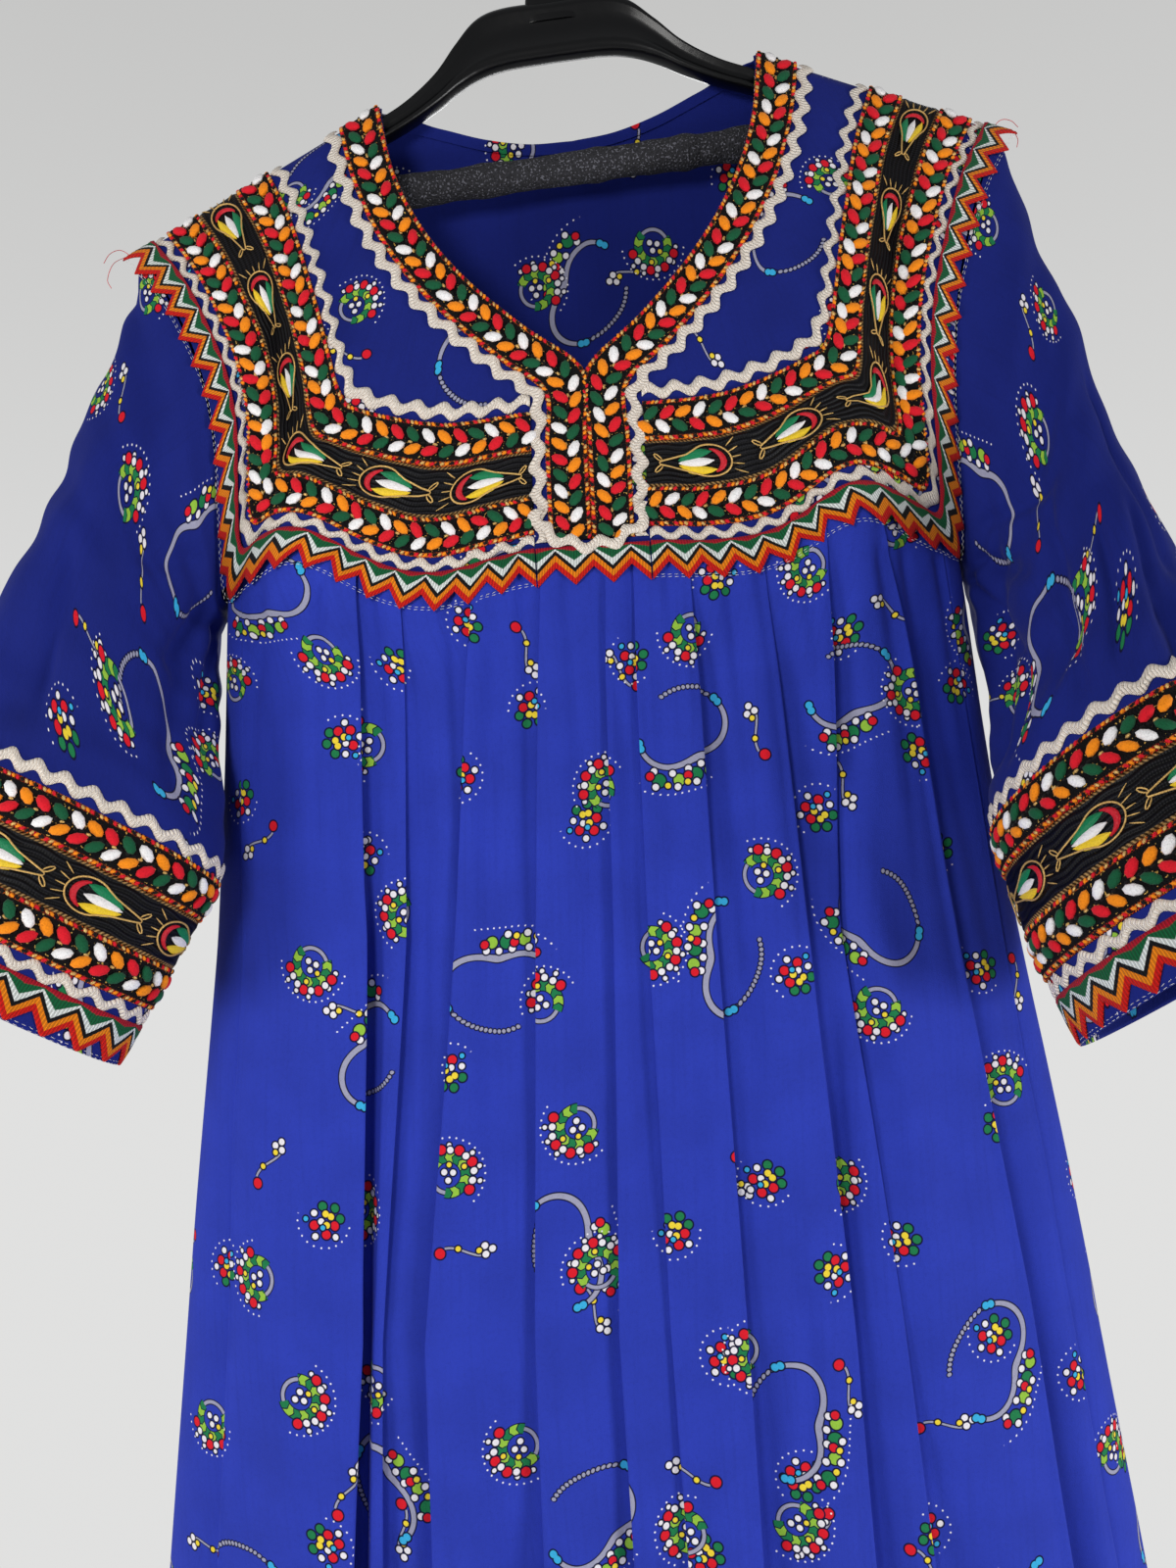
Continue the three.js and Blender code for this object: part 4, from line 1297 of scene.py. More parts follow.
# ---- The embroidered leaf of the ribbons -------------------------------------------------------
class Sprig:
    """One embroidered leaf, laid on a ribbon as threads and patches of satin stitch."""

    HALF = 7.6  # half width of the leaf's outline
    THREAD_LAY, PATCH_LAY = 1.45, 1.25  # height of the stitches above the ribbon

    def __init__(self, satin: dict[str, Material]) -> None:
        """Keeps the silks."""
        self.names = list(satin)
        self.materials = list(satin.values())
        self.points: list[Array] = []
        self.faces: list[Array] = []
        self.tones: list[Array] = []
        self.count = 0

    def _add(self, points: Array, faces: Array, silk: str) -> None:
        """Adds faces of one silk."""
        self.points.append(points)
        self.faces.append(faces + self.count)
        self.tones.append(np.full(len(faces), self.names.index(silk)))
        self.count += len(points)

    def _thread(self, lane: Lane, at: float, path: Array, radius: float, silk: str) -> None:
        """Adds a thread along a path of places on the leaf."""
        sides, count = 5, len(path)
        turn = np.linspace(0, 2 * math.pi, sides, endpoint=False)
        run = np.gradient(path, axis=0)
        run /= np.linalg.norm(run, axis=1, keepdims=True) + 1e-9
        taper = np.ones(count)
        taper[0] = taper[-1] = 0.4
        u = path[:, 0, None] - run[:, 1, None] * np.cos(turn) * radius * taper[:, None]
        v = path[:, 1, None] + run[:, 0, None] * np.cos(turn) * radius * taper[:, None]
        lift = self.THREAD_LAY + radius * 0.5 + np.sin(turn) * radius * taper[:, None]
        points = self._laid(lane, at, u, v, lift)
        self._add(points.reshape(-1, 3), grid_faces(count, sides), silk)

    def _patch(self, lane: Lane, at: float, spine: Array, half: Array, silk: str) -> None:
        """Adds a domed patch about a spine of places, as wide as half on each side."""
        run = np.gradient(spine, axis=0)
        run /= np.linalg.norm(run, axis=1, keepdims=True) + 1e-9
        share = np.linspace(-1, 1, 5)
        u = spine[:, 0, None] - run[:, 1, None] * half[:, None] * share
        v = spine[:, 1, None] + run[:, 0, None] * half[:, None] * share
        points = self._laid(lane, at, u, v, self.PATCH_LAY + 0.75 * (1 - share**2) + 0 * u)
        self._add(points.reshape(-1, 3), grid_faces(len(spine), len(share), ring=False), silk)

    def _laid(self, lane: Lane, at: float, u: Array, v: Array, lift: Array) -> Array:
        """Places of the leaf as points on the ribbon."""
        width = lane.width(np.full(1, at))[0]
        scale = min(1.0, 0.88 * width / (2 * self.HALF + 4))
        return lane.at(at + u * scale, 0.5 + v * scale / width, lift)

    def add(self, lane: Lane, at: float) -> None:
        """Adds one leaf with its middle at a length along the lane."""
        t = np.linspace(0, 2 * math.pi, 30)
        u, v = 10 * np.cos(t) - 7, self.HALF * np.sin(t)
        tip = smooth(u / 3)
        drop = np.stack([u + tip * 14 * smooth((u + 3) / 6), v * (1 - 0.55 * tip)], axis=1)
        self._thread(lane, at, drop, 0.45, "gold")
        s = np.linspace(0, 1, 8)
        swell = np.sin(np.pi * s) ** 0.7
        for silk, low, bend in (("green", -4.4, -2.8), ("white", 0.0, 0.0), ("yellow", 4.4, 2.8)):
            spine = np.stack([-9 + 17 * s, low * (1 - s * 0.75) + bend * 0.35 * np.sin(np.pi * s)], axis=1)
            self._patch(lane, at, spine, 2.0 * swell + 0.15, silk)
        arc = np.linspace(math.radians(112), math.radians(248), 10)
        band = np.stack([8.0 * np.cos(arc) - 5.2, 6.0 * np.sin(arc)], axis=1)
        self._patch(lane, at, band, 1.5 * np.sin(np.linspace(0.25, np.pi - 0.25, 10)), "red")
        for angle in (-0.62, -0.3, 0.0, 0.3, 0.62):
            ray = np.array([(-16.6, 0), (-21.5, 0)]) + np.array([(0, 9 * angle), (0, 14 * angle)])
            self._thread(lane, at, np.vstack([ray[0], ray.mean(0), ray[1]]), 0.38, "gold")
        loop = np.linspace(0, 2 * math.pi, 9)
        swing = 1 - np.cos(loop)
        for side in (-1, 1):
            bow = np.stack([15.5 + 1.9 * swing, side * (1.2 + 1.5 * swing) + 1.1 * np.sin(loop)], axis=1)
            self._thread(lane, at, bow, 0.35, "gold")

    def build(self, name: str) -> Object:
        """All the leaves as one mesh."""
        return object_from(
            name, np.vstack(self.points), np.vstack(self.faces), None, self.materials, np.concatenate(self.tones)
        )


# ---- Panels ------------------------------------------------------------------------------------
@dataclass(frozen=True)
class Pleat:
    """A fold that runs down the skirt.

    Attributes:
        at: Share of the half width at four heights.
        crest: 1 if the high side is to the right, -1 if it is to the left.
        step: Height of the drop at the four heights, in millimetres.
        over: How far the high side laps over the low one.
    """

    at: tuple[float, float, float, float]
    crest: int
    step: tuple[float, float, float, float]
    over: float = 1.0


PLEAT_HEIGHTS = np.array([-352.0, -520.0, -700.0, -1325.0])
FRONT_PLEATS = (
    Pleat((-0.93, -0.9, -0.86, -0.83), 1, (0.6, 2, 5, 20)),
    Pleat((-0.615, -0.59, -0.573, -0.6), -1, (2.0, 10, 14, 30), 4.5),
    Pleat((-0.5, -0.494, -0.53, -0.47), -1, (1.6, 5, 5, 16), 2.8),
    Pleat((-0.31, -0.366, -0.43, -0.35), 1, (1.4, 3.5, 4, 18), 2.4),
    Pleat((-0.135, -0.18, -0.21, -0.2), 1, (1.4, 3, 4, 22), 2.2),
    Pleat((0.03, 0, -0.04, -0.03), 1, (1.4, 3.5, 4.5, 20), 2.4),
    Pleat((0.1, 0.075, 0.06, 0.06), 1, (0.8, 1.4, 2, 9), 1.5),
    Pleat((0.24, 0.22, 0.205, 0.15), -1, (1.4, 3.5, 4.5, 22), 2.4),
    Pleat((0.43, 0.425, 0.42, 0.33), -1, (1.6, 5, 6, 18), 2.8),
    Pleat((0.59, 0.51, 0.52, 0.52), -1, (1.4, 3, 2, 20), 2.0),
    Pleat((0.736, 0.773, 0.785, 0.74), -1, (2.0, 10, 13, 30), 4.5),
    Pleat((0.93, 0.93, 0.9, 0.88), -1, (0.6, 3, 5, 16), 1.6),
)
BACK_PLEATS = (
    Pleat((-0.78, -0.78, -0.76, -0.77), 1, (0.6, 5, 10, 26)),
    Pleat((-0.52, -0.53, -0.5, -0.53), -1, (0.6, 6, 11, 28)),
    Pleat((-0.27, -0.25, -0.27, -0.26), 1, (0.6, 5, 9, 24)),
    Pleat((0.02, 0.03, 0.01, 0.03), -1, (0.6, 5, 9, 26)),
    Pleat((0.3, 0.28, 0.3, 0.28), 1, (0.6, 6, 10, 24)),
    Pleat((0.55, 0.57, 0.54, 0.56), -1, (0.6, 5, 10, 28)),
    Pleat((0.8, 0.79, 0.8, 0.79), 1, (0.6, 4, 9, 24)),
)
FRONT_FOLD_WIDTH = (1.3, 1.7, 2.2, 11.0)
BACK_FOLD_WIDTH = (6.0, 9.0, 13.0, 22.0)

# Creases of the front skirt, in the garment's frame: x and z down their length.
SKIRT_CREASES = (
    Crease(((-139, -352), (-152, -372), (-161, -398)), -3.5, 7.0),
    Crease(((-132, -556), (-138, -640), (-134, -720)), -3.0, 9.0),
    Crease(((-178, -570), (-172, -660), (-176, -760)), 4.0, 16.0),
    Crease(((-94, -362), (-86, -420), (-86, -520), (-92, -600)), -3.0, 5.0),
    Crease(((-46, -360), (-54, -440), (-60, -540), (-64, -640)), -3.5, 6.0),
    Crease(((4, -360), (8, -450), (8, -560), (8, -700)), -2.6, 5.0),
    Crease(((28, -362), (28, -480), (30, -610), (26, -760)), -2.4, 7.0),
    Crease(((42, -350), (50, -420), (56, -500), (58, -600)), -3.6, 6.0),
    Crease(((84, -345), (92, -420), (100, -500), (98, -600), (94, -700)), -3.6, 7.0),
    Crease(((112, -345), (112, -400), (114, -470)), -3.8, 6.0),
    Crease(((104, -470), (120, -560), (126, -680), (140, -790)), 6.0, 15.0),
    Crease(((150, -352), (158, -410), (168, -470), (182, -560), (196, -640)), -4.0, 6.0),
    Crease(((214, -560), (222, -650), (228, -740)), 4.0, 12.0),
    Crease(((66, -660), (74, -720), (70, -790)), -2.4, 6.0),
    Crease(((-20, -420), (-26, -520), (-30, -620)), 2.4, 9.0),
    Crease(((70, -400), (76, -480), (80, -570)), 2.6, 8.0),
    Crease(((-112, -380), (-116, -450), (-112, -520)), 3.0, 8.0),
    Crease(((-166, -380), (-170, -440), (-172, -520)), 2.5, 10.0),
    Crease(((-60, -760), (-70, -860), (-80, -960)), -4.0, 12.0),
    Crease(((30, -820), (34, -960), (40, -1100)), 5.0, 18.0),
    Crease(((120, -860), (140, -1000), (150, -1150)), -5.0, 16.0),
    Crease(((-150, -860), (-170, -1000), (-190, -1180)), 5.0, 18.0),
)
# Small gathers where the cloth is held by the yoke's seam: x, tilt and strength.
GATHERS = (
    *((-158, -6, 1.0), (-128, -3, 1.3), (-104, 2, 1.1), (-70, 1, 1.2), (-34, -2, 1.0), (-14, 1, 0.8)),
    *((18, 1, 1.0), (34, 2, 0.9), (62, 2, 1.2), (76, 4, 1.0), (98, 2, 1.3), (132, 3, 1.5)),
    *((146, 5, 1.1), (166, 4, 1.0)),
)
GATHER_DEEP, GATHER_WIDE = 2.6, 3.4  # depth and half width of a gather of strength 1
SEAM_CROSS, SEAM_REACH = 1.3, 24  # how far front and back cross at the side, and how sharply
YOKE_CREASES = (
    Crease(((-150, -190), (-146, -230), (-140, -268), (-146, -300)), -7.0, 9.0),
    Crease(((158, -180), (151, -222), (146, -262), (150, -300)), -7.0, 9.0),
    Crease(((-128, -180), (-124, -214), (-118, -246)), 3.0, 10.0),
    Crease(((134, -176), (128, -212), (122, -244)), 3.0, 10.0),
    Crease(((-60, -290), (-100, -310), (-140, -318)), 2.5, 14.0),
    Crease(((60, -292), (96, -306), (128, -300)), 3.0, 14.0),
    Crease(((-30, -300), (-36, -330), (-40, -352)), -2.2, 7.0),
    Crease(((44, -300), (50, -330), (52, -352)), -2.4, 7.0),
    Crease(((94, -300), (104, -330), (108, -352)), -2.4, 8.0),
    Crease(((-104, -296), (-112, -326), (-116, -352)), -2.4, 8.0),
    Crease(((-100, -170), (-112, -196), (-106, -226)), -2.0, 8.0),
    Crease(((100, -166), (108, -192), (104, -222)), -1.6, 8.0),
)
BACK_CREASES = (
    Crease(((-60, -150), (-40, -230), (-44, -330), (-60, -430)), 3.0, 18.0),
    Crease(((70, -150), (52, -240), (58, -340), (80, -440)), 3.0, 18.0),
    Crease(((-150, -200), (-120, -260), (-110, -340)), -3.0, 14.0),
    Crease(((150, -200), (124, -270), (112, -350)), -3.0, 14.0),
    Crease(((0, -130), (4, -220), (0, -320)), -2.2, 16.0),
)


def depth(side: Side, x: Array, z: Array) -> Array:
    """Distance of the yoke or the upper back from the hanger's plane."""
    drop = np.maximum(0.0, shoulder_z(x) - z)
    saddle = np.where(drop < SADDLE, np.sqrt(np.maximum(0, 1 - (1 - np.minimum(drop, SADDLE) / SADDLE) ** 2)), 1.0)
    fall = 1 - np.exp(-drop / 55)
    reach = np.minimum(1, np.abs(x) / body(HALF, z) * body(REACH, z))
    rounding = np.sqrt(np.maximum(0, 1 - reach**3))
    full = body(FRONT if side is Side.FRONT else BACK, z)
    push = wave_push(x, z) if side is Side.FRONT else 0.0
    creases = creased(YOKE_CREASES if side is Side.FRONT else BACK_CREASES, x, z)
    shade = smooth(drop / 25) * rounding
    over_arm = SADDLE * saddle * np.sqrt(rounding)
    swell = (full - SADDLE) * fall * rounding
    return over_arm + swell + push * rounding + creases * shade + EDGE


def yoke_surface(x: Array, z: Array) -> tuple[Array, Array]:
    """Points and normals of the yoke's outer face at places of the garment's frame."""
    e = 0.6

    def point(px: Array, pz: Array) -> Array:
        """The point at one place."""
        return hang(px, -depth(Side.FRONT, px, pz), pz)

    middle = point(x, z)
    along = point(x + e, z) - point(x - e, z)
    down = point(x, z - e) - point(x, z + e)
    normal = np.cross(down, along)
    return middle, normal / np.maximum(np.linalg.norm(normal, axis=-1, keepdims=True), 1e-9)


@dataclass(frozen=True)
class Strips:
    """The cloth between two lines of the yoke, along which its trims are laid.

    Attributes:
        inner: Places of the inner line.
        outer: Places of the outer line.
        hand: Which half of the yoke it is on.
    """

    inner: Array
    outer: Array
    hand: Hand

    def place(self, along: Array, across: Array) -> tuple[Array, Array]:
        """Points and normals from a share along and a share across."""
        t = np.clip(along, 0, 1) * (len(self.inner) - 1)
        index = np.arange(len(self.inner))
        line = [
            [np.interp(t, index, edge[:, k]) for k in (0, 1)]
            for edge in (self.inner, self.outer)
        ]
        x = mix(line[0][0], line[1][0], across)
        z = mix(line[0][1], line[1][1], across)
        x = self.hand.value * x
        z = z + foot_rise(x) * smooth((-230 - z) / 90)
        return yoke_surface(x, np.minimum(z, shoulder_z(x) - 0.7))


def frame_strips(hand: Hand) -> Strips:
    """The strips of the yoke's frame, from the shoulder to the placket."""
    lines = []
    for table in (FRAME_INNER, FRAME_OUTER):
        line = table.copy()
        line[0, 1] = shoulder_z(line[0, 0]) - 0.7
        lines.append(blurred(through(line, 420), 3.0))
    return Strips(lines[0], lines[1], hand)


def neck_strips(hand: Hand) -> Strips:
    """The strips along the neck's edge and down the placket."""
    line = FRONT_NECK[::-1, :2]
    lines = []
    for offset in (0.0, NECK_REACH):
        path = [(NECK_X + offset, float(shoulder_z(np.array(NECK_X + offset))) - 0.7)]
        for k in (2, 3, 4, 5):
            run = line[k + 1] - line[k - 1]
            run = run / np.linalg.norm(run)
            path.append((line[k, 0] - run[1] * offset, line[k, 1] + run[0] * offset))
        knee = FRONT_NECK[0, 1] - 0.45 * offset
        path += [(offset, float(mix(knee, PLACKET_FOOT, t))) for t in (0.0, 0.35, 0.7, 1.0)]
        lines.append(blurred(through(np.array(path), 420), 4.0))
    return Strips(lines[0], lines[1], hand)


def column_tops(neckline: Array, on_neck: int, on_shoulder: int) -> tuple[Array, Array, Array]:
    """The columns of a panel from the left armhole to the right one.

    Args:
        neckline: Table of the neckline's places and their feet.
        on_neck: How many columns start on each half of the neckline.
        on_shoulder: How many start on each shoulder.

    Returns:
        x and z of each column's top, and x of its foot.
    """
    neck = through(neckline, on_neck)
    shoulder_x = np.linspace(NECK_X, TIP_X, on_shoulder + 1)[1:]
    shoulder = np.stack([shoulder_x, shoulder_z(shoulder_x), np.linspace(90, ARMPIT_X, on_shoulder + 1)[1:]], axis=1)
    right = np.vstack([neck, shoulder])
    left = right[:0:-1] * np.array([-1, 1, -1])
    columns = np.vstack([left, right])
    return columns[:, 0], columns[:, 1], columns[:, 2]


def bodice_places(
    neckline: Array, foot_z: Callable[[Array], Array], on_neck: int, on_shoulder: int, rows: int
) -> tuple[Array, Array]:
    """Places of a bodice panel's grid, dense where it bends over the shoulder.

    Args:
        neckline: Table of the neckline.
        foot_z: Height of the panel's foot at x.
        on_neck: Columns on each half of the neckline.
        on_shoulder: Columns on each shoulder.
        rows: Rows of the grid.

    Returns:
        x and z of every place.
    """
    top_x, top_z, foot_x = column_tops(neckline, on_neck, on_shoulder)
    share = np.linspace(0, 1, rows)[:, None] ** 1.7
    foot = foot_z(foot_x)[None, :]
    z = mix(top_z[None, :], foot, share)
    edge_z = mix(TIP_Z, ARMPIT_Z, share)
    bow = body(HALF, edge_z) - mix(TIP_X, ARMPIT_X, share)
    outer = (np.abs(foot_x) / ARMPIT_X)[None, :] ** 4
    x = mix(top_x[None, :], foot_x[None, :], share) + np.sign(foot_x)[None, :] * bow * outer
    return x, z


def fold_columns(pleats: Sequence[Pleat], spacing: float, on_drop: int) -> Array:
    """Columns of a pleated grid, close together where the cloth folds over.

    Args:
        pleats: The folds, from left to right.
        spacing: Distance between the other columns, as a share of the half width.
        on_drop: Columns on each fold's drop.

    Returns:
        Places that count the flat stretches and the drops between them: 0 to 1 is the first flat
        stretch, 1 to 2 the first drop, and so on.
    """
    marks = [-1.0] + [pleat.at[1] for pleat in pleats] + [1.0]
    places: list[Array] = []
    for k, (low, high) in enumerate(zip(marks, marks[1:])):
        count = max(4, round((high - low) / spacing))
        places.append(2 * k + np.arange(count) / count)
        if k < len(pleats):
            places.append(2 * k + 1 + np.arange(on_drop) / on_drop)
    return np.append(np.concatenate(places), 2.0 * len(marks) - 3.0)


def folded(pleats: Sequence[Pleat], widths: Sequence[float], places: Array, z: float) -> tuple[Array, Array, Array]:
    """Where the folds put the cloth at one height.

    Args:
        pleats: The folds, from left to right.
        widths: Half width of a drop at the four heights.
        places: The columns, as fold_columns gives them.
        z: The height.

    Returns:
        Share of the half width, lift outwards and shift along the cloth in millimetres.
    """
    half = float(body(HALF, np.array(z)))

    def down(values: Sequence[float]) -> float:
        """The value at this height from those at the four heights."""
        return float(np.interp(-z, -PLEAT_HEIGHTS, values))

    soft = down(widths) / half
    pressed = float(smooth((z + 1250) / 450)) * (0.5 + 0.5 * float(smooth((ARMPIT_Z - z) / 60)))
    knots, lifts, laps = [-1.0], [0.0], [0.0]
    for pleat in pleats:
        step, mark = down(pleat.step), down(pleat.at)
        knots += [mark - soft, mark + soft]
        lifts += [-0.5 * pleat.crest * step, 0.5 * pleat.crest * step]
        laps += [pleat.over * pressed, 0.0]
    knots.append(1.0)
    lifts.append(0.0)
    edges, levels = np.array(knots), np.array(lifts)
    k = np.minimum(places.astype(int), len(knots) - 2)
    t = places - k
    drop = k % 2 == 1
    c = mix(edges[k], edges[k + 1], t)
    lift = mix(levels[k], levels[k + 1], np.where(drop, smooth((t - 0.2) / 0.6), smooth(t)))
    belly = 0.05 * (edges[k + 1] - edges[k]) * half * float(smooth((ARMPIT_Z - z) / 300))
    lift += np.where(drop, 0.0, belly * np.sin(np.pi * t))
    shift = np.array(laps)[k] * np.sin(2 * np.pi * t)
    edge = 1 - np.abs(c) ** 6
    return c, lift * edge, shift * edge


@dataclass
class Skirt:
    """The skirt's surface, front or back.

    Attributes:
        side: Which way it faces.
        pleats: Its folds.
        widths: Half width of a fold's drop at four heights.
        creases: Creases drawn on it.
        seed: Seed of its small wrinkles.
    """

    side: Side
    pleats: Sequence[Pleat]
    widths: Sequence[float]
    creases: Sequence[Crease]
    seed: int

    def points(self, places: Array, z: Array) -> Array:
        """The surface on a grid of places.

        Args:
            places: The columns, as fold_columns gives them.
            z: Height of each row and column.

        Returns:
            Points of the grid.
        """
        half, deep = body(HALF, z), body(FRONT if self.side is Side.FRONT else BACK, z)
        share, lift, shift = np.zeros(z.shape), np.zeros(z.shape), np.zeros(z.shape)
        for row in range(len(z)):
            share[row], lift[row], shift[row] = folded(self.pleats, self.widths, places, float(z[row].mean()))
        x = share * half
        rounding = np.sqrt(np.maximum(0, 1 - np.abs(share) ** 3))
        lift += creased(self.creases, x, z) * rounding
        below = smooth((ARMPIT_Z - z) / 60)
        long = soft_noise(z.shape, (len(z) / 14, 5.0), self.seed) * 0.7
        fine = soft_noise(z.shape, (len(z) / 60, 3.0), self.seed + 1) * 0.22
        lift += (long + fine) * below * (1 - np.abs(share) ** 6)
        if self.side is Side.FRONT:
            lift += wave_push(x, z) * rounding
            for at, tilt, strength in GATHERS:
                gone = np.maximum(0.0, ARMPIT_Z - z)
                near = bell((x - at - tilt * gone / 60) / GATHER_WIDE)
                lift -= GATHER_DEEP * strength * near * np.exp(-gone / 70) * smooth(gone / 4 + 0.35)
        nx, ny = 3 * share * np.abs(share) / half, 2 * rounding / deep
        norm = np.hypot(nx, ny) + 1e-9
        nx, ny = nx / norm, ny / norm
        px = x + nx * lift + shift * ny
        py = deep * rounding + ny * lift + EDGE * (1 - SEAM_CROSS * np.abs(share) ** SEAM_REACH)
        return hang(px, -py if self.side is Side.FRONT else py, z)


@dataclass
class Panels:
    """The yoke, the skirt and the back.

    Attributes:
        finishes: The materials.
    """

    finishes: Finishes

    def yoke(self) -> Object:
        """The front yoke."""
        x, z = bodice_places(FRONT_NECK, lambda foot: YOKE_FOOT + foot_rise(foot), 56, 52, 84)
        points = hang(x * (1 - 0.0007), -depth(Side.FRONT, x, z), z)
        return self._panel("yoke_cloth", points, self.finishes.bodice, neck_rows=9)

    def front_skirt(self) -> Object:
        """The pleated front of the skirt."""
        rows = 206
        share = np.concatenate([np.linspace(0, 0.06, 16)[:-1], np.linspace(0.06, 1, rows - 15)])[:, None]
        places = fold_columns(FRONT_PLEATS, 0.0074, 14)
        flat = mix(ARMPIT_Z, HEM_Z, share)
        c, _, _ = folded(FRONT_PLEATS, FRONT_FOLD_WIDTH, places, ARMPIT_Z)
        top = YOKE_FOOT + foot_rise(c * ARMPIT_X)[None, :] + 1.5
        z = mix(mix(top, HEM_Z, share), flat, smooth(share / 0.1))
        skirt = Skirt(Side.FRONT, FRONT_PLEATS, FRONT_FOLD_WIDTH, SKIRT_CREASES, 5)
        return self._panel("front_skirt_cloth", skirt.points(places, z), self.finishes.skirt, hem_rows=6)

    def back(self) -> Object:
        """The back, in one piece from the neck to the hem."""
        x, z = bodice_places(BACK_NECK, lambda foot: ARMPIT_Z + 0 * foot, 56, 50, 74)
        upper = hang(x * (1 - 0.0007), depth(Side.BACK, x, z), z)
        c = x[-1] / x[-1, -1]
        low = np.broadcast_to(mix(ARMPIT_Z, HEM_Z, np.linspace(0, 1, 222)[1:])[:, None], (221, len(c)))
        knots = np.arange(2.0 * len(BACK_PLEATS) + 2)
        edges, _, _ = folded(BACK_PLEATS, BACK_FOLD_WIDTH, knots, ARMPIT_Z)
        skirt = Skirt(Side.BACK, BACK_PLEATS, BACK_FOLD_WIDTH, (), 21)
        points = np.concatenate([upper, skirt.points(np.interp(c, edges, knots), low)])
        points[66:84] = blurred(points[60:90], 3.0)[6:24]
        return self._panel("back_cloth", points, self.finishes.back, True, neck_rows=9, hem_rows=6)

    @staticmethod
    def _panel(
        name: str, points: Array, material: Material, flip: bool = False, neck_rows: int = 0, hem_rows: int = 0
    ) -> Object:
        """A panel with its edges turned in.

        Args:
            name: Name of the piece.
            points: The panel's grid.
            material: Its cloth.
            flip: Whether it faces backwards.
            neck_rows: Rows that are turned in at the top.
            hem_rows: Rows that are turned in at the foot.

        Returns:
            The panel.
        """
        normals = grid_normals(points) * (-1 if flip else 1)
        run = row_lengths(points)
        middle = run.shape[1] // 2
        across = run - run[:, middle : middle + 1]
        down = row_lengths(points.transpose(1, 0, 2)).T
        down = down - down[-1:, :]
        uv = np.stack([across, -down], axis=-1) * MM
        parts, places = [points], [uv]
        if hem_rows:
            parts.append(turned_in(points, normals, hem_rows))
            places.append(uv[-1 : -hem_rows - 1 : -1])
        if neck_rows:
            parts.insert(0, turned_in(points[::-1], normals[::-1], neck_rows)[::-1])
            places.insert(0, uv[:neck_rows][::-1])
        return grid_object(name, np.concatenate(parts), np.concatenate(places), material, flip=flip)


